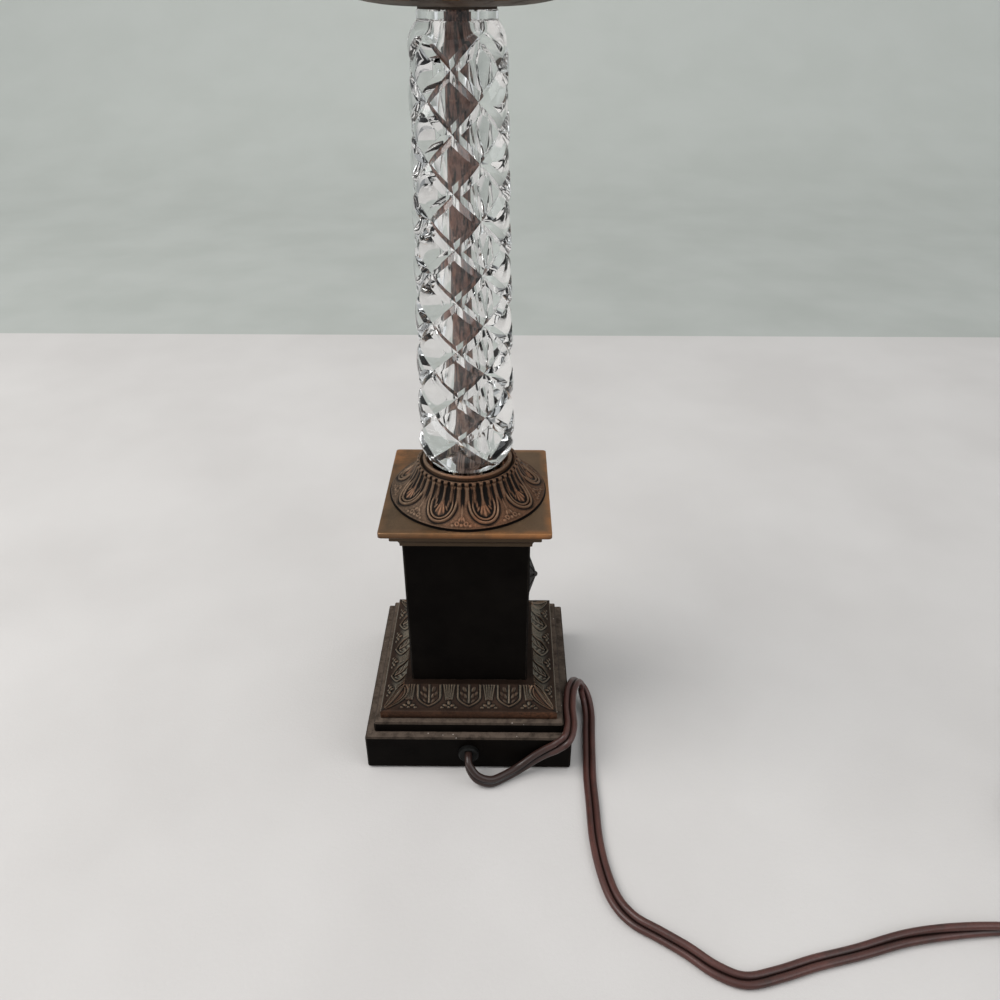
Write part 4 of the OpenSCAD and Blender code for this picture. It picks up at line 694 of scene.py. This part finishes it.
def make_dome(bronze):
    low, _ = size_of("leaf_dome")
    seat = DOME_H + COLLAR_H - SEAT_DEPTH
    foot, shoulder = (DOME_R - 2.2, 1.5), (DOME_TOP_R, DOME_H)
    ring_x, ring_z = DOME_TOP_R + 0.9 - RING_R, DOME_H + 0.2
    lip_x, lip_z = COLLAR_R + LIP_R, DOME_H + COLLAR_H - LIP_R
    slope = arc_between(shoulder, foot, hollow_r(shoulder, foot, DOME_HOLLOW), 74)
    slope = slope[np.hypot(slope[:, 0] - ring_x, slope[:, 1] - ring_z) > RING_R * 1.04]
    profile = [
        [[HOLE_R, 0], [HOLE_R, seat], [COLLAR_R - 0.3, seat], [COLLAR_R, seat + 0.3]],
        [[COLLAR_R, seat + k] for k in np.linspace(1, lip_z - seat, 6)],
        round_arc(lip_x, lip_z, LIP_R, 172, -20, 16),
        [[lip_x + LIP_R * 0.85, lip_z - 1.2], [lip_x + LIP_R, DOME_H + 0.1]],
        round_arc(ring_x, ring_z, RING_R, 196, -38, 18),
        slope,
        [[DOME_R - 1.3, 1.5], [DOME_R - 0.9, 1.42], [DOME_R - 0.68, 1.2], [DOME_R - 0.6, 0.9],
         [DOME_R - 0.6, 0.12], [DOME_R - 0.3, 0.08], [DOME_R, 0.08], [DOME_R, 0]],
    ]
    line = np.vstack(profile)
    first = sum(len(part) for part in profile[:5])
    ring_row = first - 12
    rows = len(line)
    on_slope = np.zeros(rows)
    on_slope[first:first + len(slope)] = 1
    cols = 16 * FLUTES
    along = np.gradient(line, axis=0)
    normal = np.stack([-along[:, 1], along[:, 0]], axis=1)
    normal /= np.linalg.norm(normal, axis=1)[:, None]
    turn = np.repeat((np.arange(cols) * 360 / cols - 90)[None], rows, axis=0)
    radius = np.repeat(line[:, :1], cols, axis=1)
    leaves, copper_show, inside = leaf_relief(radius, turn)
    flute = np.abs(np.cos(np.radians(turn + 90 - LEAF_TURN) * FLUTES / 2))
    upper = smooth((FLUTE_END_R - radius) / 3.4)
    ribs = (1.55 * flute ** 1.2 - 1.1) * upper
    near_leaf = smooth((radius - 27.0) / 2.5)
    height = (np.maximum(leaves * near_leaf, ribs * (1 - 0.75 * near_leaf)) + 0.3 * leaves * (1 - near_leaf))
    height = height * on_slope[:, None] * smooth((DOME_R - 1.7 - radius) / 0.5)
    notched = np.clip((np.arange(rows) - ring_row) / 5, 0, 1) * (1 - on_slope) * (np.arange(rows) < first)
    height += notched[:, None] * (1.2 * np.minimum(flute * 1.15, 1) ** 1.3 - 1.2)
    r = line[:, :1] + height * normal[:, :1]
    z = line[:, 1:] + height * normal[:, 1:]
    a = np.radians(turn)
    points = np.stack([r * np.cos(a), r * np.sin(a), z + low[2]], axis=-1)
    deep = height - blurred(height, 5, wrap=(False, True))
    relief = 0.52 + deep * 1.3 + (height - 0.2) * 0.12 * on_slope[:, None]
    relief -= 0.18 * smooth((inside - 2.7) / 0.5) * (1 - copper_show) * on_slope[:, None]
    relief -= 0.6 * smooth((0.72 - flute) / 0.4) * upper * (on_slope[:, None] + notched[:, None])
    # Painted shadow: the thin flange round the dome's rim is set near-black, standing in for the shadow gap under
    # the dome's edge.
    rim = (line[:, 1] < 1.0) & (line[:, 0] > DOME_R - 0.7)
    relief[rim] = 0.05
    in_groove = np.clip(1 - np.hypot(line[:, 0] - lip_x - LIP_R, line[:, 1] - DOME_H - 0.3) / 1.0, 0, 1)
    relief -= 0.6 * in_groove[:, None]
    lip = (line[:, 0] < lip_x + LIP_R) & (line[:, 1] > lip_z)
    relief[lip] += 0.3
    # Painted highlight: copper painted on the front of the dome's slope and, below, on the front of the collar's
    # lip.
    front = np.exp(-(folded(turn + 90 - 8, 360) / 26) ** 2) * smooth((radius - 31) / 4)
    # Painted light: the collar's inner wall is painted copper, standing in for the light that comes down the glass.
    inner = ((line[:, 0] <= COLLAR_R + 0.4) & (line[:, 1] > seat - 0.1))[:, None]
    copper = np.clip(0.8 * copper_show * on_slope[:, None] + 0.9 * front * on_slope[:, None] + inner, 0, 1)
    copper[lip] = 0.9 * np.exp(-(folded(turn[lip] + 90 - 4, 360) / 28) ** 2)
    mesh = mesh_of("leaf_dome_casting", points.reshape(-1, 3), grid_faces(rows, cols, True, True), sharp=75,
                   relief=np.clip(relief, 0, 1), copper=copper)
    link("leaf_dome_casting", mesh, replaces=("leaf_dome",), material=bronze)


# Cap plate

PLATE_W, PLATE_T = 82, 3
PLINTH_W = 62.3
PLATE_EDGE, PLATE_CORNER = 0.7, 1.6
COVE_H, COVE_OUT, COVE_HOLLOW = 10.4, 4.5, 0.6
COVE_STEP, COVE_BAND, COVE_TOP_T, COVE_LIP = 1, 1.3, 4.8, 0.8
CAP_WALL = 4
PLATE_UNDER_Z = 142.4


def square_ring(half, z, corner, side_steps, corner_steps):
    """Points round a square with rounded corners, from the middle of the front side."""
    points = []
    for quarter in range(4):
        t = quarter * math.pi / 2
        c, s = math.cos(t), math.sin(t)
        run = half - corner
        line = [(k / side_steps * run, -half) for k in range(side_steps)]
        line += [(run + corner * math.sin(a), -run - corner * math.cos(a))
                 for a in np.linspace(0, math.pi / 2, corner_steps + 1)]
        line += [(half, -run + k / side_steps * run) for k in range(1, side_steps)]
        points += [(x * c - y * s, x * s + y * c, z) for x, y in line]
    return points


def make_plate(material):
    low, _ = size_of("cap_plate")
    foot = (PLINTH_W / 2 + COVE_STEP, COVE_BAND)
    head = (PLINTH_W / 2 + COVE_OUT, COVE_H - COVE_TOP_T)
    lip = head[0] + COVE_LIP
    hollow = arc_between(head, foot, hollow_r(head, foot, COVE_HOLLOW), 9)
    pocket = PLINTH_W / 2 - CAP_WALL
    half, top, e = PLATE_W / 2, COVE_H + PLATE_T, PLATE_EDGE
    bend = [(half - e + e * math.sin(t), top - e + e * math.cos(t)) for t in np.linspace(0, math.pi / 2, 5)]
    profile = ([(half - 3.0, top, 1.6)] + [(x, z, PLATE_CORNER) for x, z in bend]
               + [(half, COVE_H + 0.35, PLATE_CORNER), (half - 0.35, COVE_H, PLATE_CORNER)]
               + [(lip + 0.15, COVE_H, 0.5), (lip, COVE_H - 0.15, 0.5), (lip, head[1] + 0.25, 0.5),
                  (lip - 0.25, head[1], 0.5), (head[0], head[1], 0.4)]
               + [(x, z, 0.4) for x, z in hollow[1:-1]]
               + [(foot[0], foot[1], 0.4), (foot[0], 0.2, 0.4), (foot[0] - 0.2, 0, 0.4),
                  (pocket, 0, 0.4), (pocket, COVE_H - 0.6, 0.4)])
    rings = [square_ring(x, z, c, 14, 5) for x, z, c in profile]
    cols = len(rings[0])
    turn = [math.atan2(y, x) for x, y, _ in rings[0]]

    def circle(radius, z):
        return [(radius * math.cos(t), radius * math.sin(t), z) for t in turn]

    rings = [circle(HOLE_R, COVE_H - 0.6), circle(HOLE_R, top)] + rings
    points = np.array(rings) + (0, 0, low[2])
    mesh = mesh_of("cap_plate_casting", points.reshape(-1, 3), grid_faces(len(rings), cols, True, True), sharp=35)
    link("cap_plate_casting", mesh, replaces=("cap_plate",), material=material)


# Leaf moulding on the base

MOULD_W, MOULD_TOP_W = 94, 69.3
BAND_H, SLOPE_H = 5.2, 7.9
SLOPE_LEDGE, SLOPE_HOLLOW = 1.6, 1.5
SHIELD_STEP, SHIELD_HALF_W = 21.4, 6.5
SHIELD_TIP, SHIELD_MIDDLE = 1.3, 7.2
POCKET_HALF = 28.15


def shield_relief(x, s):
    """One pointed shield leaf on the slope: x across it, s up the slope from its foot."""
    t = np.clip((SHIELD_MIDDLE - s) / (SHIELD_MIDDLE - SHIELD_TIP), 0, 1.4)
    wide = SHIELD_HALF_W * (1 - t ** 1.9)
    lean = SHIELD_HALF_W * 1.9 * t ** 0.9 / (SHIELD_MIDDLE - SHIELD_TIP)
    inside = (wide - np.abs(x)) / np.sqrt(1 + lean ** 2)
    height = ridge(inside - 0.5, 1.1, 0.95)
    inner = smooth((inside - 1.15) / 0.4)
    leaf = ridge(x, 1.15, 0.95) * smooth((s - 3.2) / 0.8)
    for way in (-1, 1):
        for at, half, tilt, high in (((2.4, 11.0), (1.0, 1.9), 24, 0.75), ((3.7, 8.6), (0.85, 2.0), 38, 0.7),
                                     ((2.0, 7.6), (0.8, 1.9), 28, 0.75), ((2.2, 4.9), (0.8, 1.7), 32, 0.6)):
            leaf = np.maximum(leaf, lobe(x, s, (way * at[0], at[1]), half, way * tilt, high))
    height += inner * (leaf - 0.25)
    return np.where(inside > -0.2, height, 0), inside


def mould_relief(x, s, mitre, length):
    """Relief of one side of the moulding. mitre is the distance from the corner line."""
    height = np.zeros_like(x)
    outside = np.full_like(x, 9.0)
    for k in (-1, 0, 1):
        one, inside = shield_relief(x - k * SHIELD_STEP, s)
        height += one
        outside = np.minimum(outside, -inside)
    for k in (-1.5, -0.5, 0.5, 1.5):
        dx = x - k * SHIELD_STEP
        flower = lobe(dx, s, (0, 3.7), (0.85, 1.5), 0, 0.85)
        for way in (-1, 1):
            flower = np.maximum(flower, lobe(dx, s, (way * 1.9, 2.3), (0.9, 1.35), way * 62, 0.8))
            flower = np.maximum(flower, lobe(dx, s, (way * 3.6, 1.2), (0.75, 0.9), way * 80, 0.55))
        flower = np.maximum(flower, lobe(dx, s, (0, 1.4), (0.8, 0.8), 0, 0.6))
        height = np.maximum(height, flower)
        fan = np.zeros_like(x)
        for place in (-2.9, -1.45, 0, 1.45, 2.9):
            spread = 0.42 + 0.58 * np.clip((s - 4.2) / (length - 4.2), 0, 1)
            fan = np.maximum(fan, ridge(dx - place * spread, 0.85, 0.6))
        height = np.maximum(height, fan * smooth((s - 4.8) / 0.9) * smooth((outside - 0.2) / 0.5))
    share = np.clip(s / length, 0, 1)
    lens = 5.2 * np.sin(math.pi * (0.04 + 0.92 * share)) ** 0.8
    in_lens = smooth((lens + 0.5 - mitre) / 0.35)
    leaf = ridge(mitre - lens, 1.15, 0.9) + ridge(mitre, 1.1, 0.7) + 0.15
    leaf = np.maximum(leaf, ridge(mitre - lens + 1.75, 0.9, 0.6) * smooth((lens - 2.4) / 0.6))
    height = height * (1 - in_lens) + leaf * in_lens
    return height * smooth(s / 0.7) * smooth((length - s) / 0.5 + 0.25)


def make_moulding(bronze):
    low, _ = size_of("base_moulding")
    slope_foot, slope_top = (MOULD_W / 2 - SLOPE_LEDGE, BAND_H), (MOULD_TOP_W / 2, BAND_H + SLOPE_H)
    slope = arc_between(slope_top, slope_foot, hollow_r(slope_top, slope_foot, SLOPE_HOLLOW), 62)[::-1]
    w = MOULD_W / 2
    ease = 0.45
    band = [[POCKET_HALF, 0], [w - ease, 0], [w, ease], [w, BAND_H * 0.4], [w, BAND_H - ease], [w - ease, BAND_H]]
    top = [[slope_top[0] - 0.8, slope_top[1]], [POCKET_HALF, slope_top[1]]]
    line = np.vstack([band, slope, top])
    first, last = len(band), len(band) + len(slope)
    normal = np.zeros_like(line)
    along = np.gradient(slope, axis=0)
    normal[first:last] = np.stack([along[:, 1], -along[:, 0]], axis=1)
    normal /= np.maximum(np.linalg.norm(normal, axis=1), 1e-9)[:, None]
    s = np.zeros(len(line))
    s[first:last] = np.concatenate([[0], np.cumsum(np.linalg.norm(np.diff(slope, axis=0), axis=1))])
    length = s[last - 1]
    steps = 340
    share = np.linspace(-1, 1, steps + 1)
    d = np.broadcast_to(line[:, :1], (len(line), steps + 1))
    x = share[None] * d
    mitre = d - np.abs(x)
    on_slope = np.zeros((len(line), 1))
    on_slope[first:last] = 1
    height = mould_relief(x, np.broadcast_to(s[:, None], x.shape), mitre, length) * on_slope
    out = d + height * normal[:, :1]
    z = line[:, 1:] + height * normal[:, 1:] + low[2]
    deep = height - blurred(height, 4, wrap=(False, False))
    relief = np.clip(0.5 + deep * 1.15 + (height - 0.25) * 0.12 * on_slope, 0, 1)
    # Painted shade: the flat top round the plinth's foot is set darker than plain, standing in for the plinth's
    # shadow.
    relief[-2:] = 0.36
    points, values, copper_share = [], [], []
    on_band = np.zeros((len(line), 1))
    on_band[2:5] = 1
    for quarter in range(4):
        px, py = share[None] * out, -out
        a = quarter * math.pi / 2
        turned = np.stack([px * math.cos(a) - py * math.sin(a), px * math.sin(a) + py * math.cos(a), z], axis=-1)
        wear = on_band * (0.3 + 0.4 * smooth((turned[..., 0] - 8) / 30)) + 0.4 * smooth((5 - mitre) / 3)
        points.append(turned[:, :-1])
        values.append(relief[:, :-1])
        copper_share.append(wear[:, :-1])
    points = np.concatenate(points, axis=1)
    rows, cols = points.shape[:2]
    mesh = mesh_of("leaf_moulding", points.reshape(-1, 3), grid_faces(rows, cols, True, True), sharp=60,
                   relief=np.concatenate(values, axis=1), copper=np.clip(np.concatenate(copper_share, axis=1), 0, 1))
    link("leaf_moulding", mesh, replaces=("base_moulding",), material=bronze)


# Floor, backdrop and light

FLOOR_SEAM_Y, STAGE_REACH = 0.59, 4.0
SWEEP_Y, SWEEP_R = 1.2, 1.2


def floor_cloth():
    g = Graph("floor_cloth")
    body = g.mix(g.span(g.noise(0.008, 3, 0.5), 0.35, 0.65), (0.56, 0.535, 0.52), (0.60, 0.575, 0.56))
    return g.surface(Base_Color=body, Roughness=0.95, Normal=g.bump(g.noise(0.5, 5, 0.7), 0.3, 0.5))


def back_cloth():
    """The greyer cloth behind, painted paler far off and higher up where less light falls on it: painted light that
    keeps it looking even.
    """
    g = Graph("back_cloth")
    _, y, z = g.parts(g.place)
    body = g.mix(g.span(y, 600, 1700), (0.400, 0.415, 0.390), (0.530, 0.550, 0.515))
    body = g.mix(g.span(z, 0, 700), body, (0.700, 0.720, 0.680))
    body = g.mix(g.span(g.noise(0.008, 3, 0.5), 0.35, 0.65, 0.0, 0.12), body, (0.75, 0.76, 0.74))
    return g.surface(Base_Color=body, Roughness=0.95, Normal=g.bump(g.noise(0.3, 5, 0.7), 0.3, 0.5))


def stage_sheet(name, profile, material):
    """A sheet as wide as the stage through points that give its y and z in metres."""
    points = np.array([(x, y, z) for y, z in profile for x in (-STAGE_REACH, STAGE_REACH)])
    mesh = mesh_of(name, points / MM, grid_faces(len(profile), 2), sharp=60)
    mesh.materials.append(material)
    piece = bpy.data.objects.new(name, mesh)
    bpy.context.scene.collection.objects.link(piece)


def make_stage():
    """A pale cloth under the lamp, and behind it a greyer one that sweeps up past every view's camera."""
    stage_sheet("floor", [(-STAGE_REACH, 0), (FLOOR_SEAM_Y, 0)], floor_cloth())
    sweep = round_arc(SWEEP_Y, SWEEP_R, SWEEP_R, -90, 0, 40).tolist()
    stage_sheet("backdrop", [(FLOOR_SEAM_Y, 0)] + sweep + [(SWEEP_Y + SWEEP_R, STAGE_REACH)], back_cloth())


def area_light(name, at, towards, size, power, color=(1, 1, 1)):
    data = bpy.data.lights.new(name, "AREA")
    data.shape, data.size, data.size_y = "RECTANGLE", size[0], size[1]
    data.energy, data.color = power, color
    lamp = bpy.data.objects.new(name, data)
    bpy.context.scene.collection.objects.link(lamp)
    lamp.location = at
    lamp.visible_camera = False
    lamp.rotation_mode = "QUATERNION"
    lamp.rotation_quaternion = (Vector(towards) - Vector(at)).to_track_quat("-Z", "Y")


def make_light():
    """A plain studio: bright above, behind and beside the lamp, dimmer where the camera stands."""
    world = bpy.data.worlds.new("studio")
    world.use_nodes = True
    tree = world.node_tree
    back = tree.nodes["Background"]
    place = tree.nodes.new("ShaderNodeTexCoord")
    toward = tree.nodes.new("ShaderNodeVectorMath")
    toward.operation = "DOT_PRODUCT"
    toward.inputs[1].default_value = (-0.2, 0.62, 0.76)
    span = tree.nodes.new("ShaderNodeMapRange")
    for key, value in (("From Min", -0.65), ("From Max", 0.55), ("To Min", 0.22), ("To Max", 0.86)):
        span.inputs[key].default_value = value
    tree.links.new(place.outputs["Generated"], toward.inputs[0])
    tree.links.new(toward.outputs["Value"], span.inputs["Value"])
    tree.links.new(span.outputs["Result"], back.inputs["Strength"])
    back.inputs["Color"].default_value = (0.95, 0.98, 1.0, 1)
    bpy.context.scene.world = world
    area_light("window", (-1.1, -0.3, 1.5), (0, 0, 0.2), (1.2, 1.2), 22, (1, 0.99, 0.97))
    area_light("fill", (1.3, -0.9, 1.3), (0, 0, 0.2), (1.4, 1.0), 8, (0.96, 0.98, 1.0))


def paint(material, *nodes):
    for node in nodes:
        slots = NODES[node].data.materials
        slots.clear()
        slots.append(material)


bpy.context.scene.view_settings.view_transform = "Standard"
make_camera()
vinyl = cord_vinyl()
bronze = cast_bronze()
make_cord(vinyl)
make_column(clear_glass())
make_dome(bronze)
make_plate(plate_bronze())
make_moulding(bronze)
paint(black_iron(), "base_block", "base_step", "plinth")
paint(bronze, "side_rosette")
paint(pipe_metal(), "centre_pipe")
old_brass = aged_metal("aged_brass", (0.24, 0.155, 0.07), (0.40, 0.27, 0.125), (0.12, 0.075, 0.04),
                       wear=(0.62, 0.45, 0.23))
dish_bronze = aged_metal("dish_bronze", (0.026, 0.016, 0.009), (0.068, 0.038, 0.018), (0.012, 0.009, 0.007),
                         rough=0.5, wear=(0.30, 0.14, 0.06), metallic=0.3, shine=0.2)
paint(old_brass, "harp_saddle", "harp", "harp_sleeve_left", "harp_sleeve_right", "finial", "socket_cap",
      "socket_shell", "screw_shell", "centre_contact", "top_nut", "plug_blades")
paint(dish_bronze, "drip_dish", "turned_neck")
paint(aged_metal("zinc_steel", (0.34, 0.35, 0.36), (0.5, 0.51, 0.52), (0.2, 0.2, 0.2)),
      "plain_washer", "pipe_nut", "terminal_screws", "cap_screw")
paint(aged_metal("dark_steel", (0.03, 0.027, 0.025), (0.06, 0.055, 0.05), (0.02, 0.018, 0.016)), "rosette_pin")
paint(plain_stuff("cork", (0.44, 0.33, 0.23), (0.66, 0.53, 0.39), 0.85, 1.2, 0.2), "seat_washer")
paint(plain_stuff("dark_cork", (0.035, 0.024, 0.018), (0.075, 0.052, 0.038), 0.85, 1.2, 0.2), "top_washer")
paint(plain_stuff("felt", (0.02, 0.045, 0.028), (0.04, 0.085, 0.05), 0.95, 2.2, 0.25), "felt_pad")
paint(plain_stuff("card", (0.3, 0.2, 0.11), (0.42, 0.3, 0.17), 0.8, 1.5, 0.08), "shell_liner")
paint(plain_stuff("phenolic", (0.015, 0.013, 0.012), (0.03, 0.026, 0.023), 0.35, 1.0, 0.03), "switch_body")
paint(plain_stuff("black_plastic", (0.004, 0.004, 0.004), (0.010, 0.010, 0.009), 0.4, 1.0, 0.03, shine=0.12),
      "switch_key", "cord_grommet", "cord_tie")
paint(vinyl, "plug_body", "inner_wires")
make_stage()
make_light()
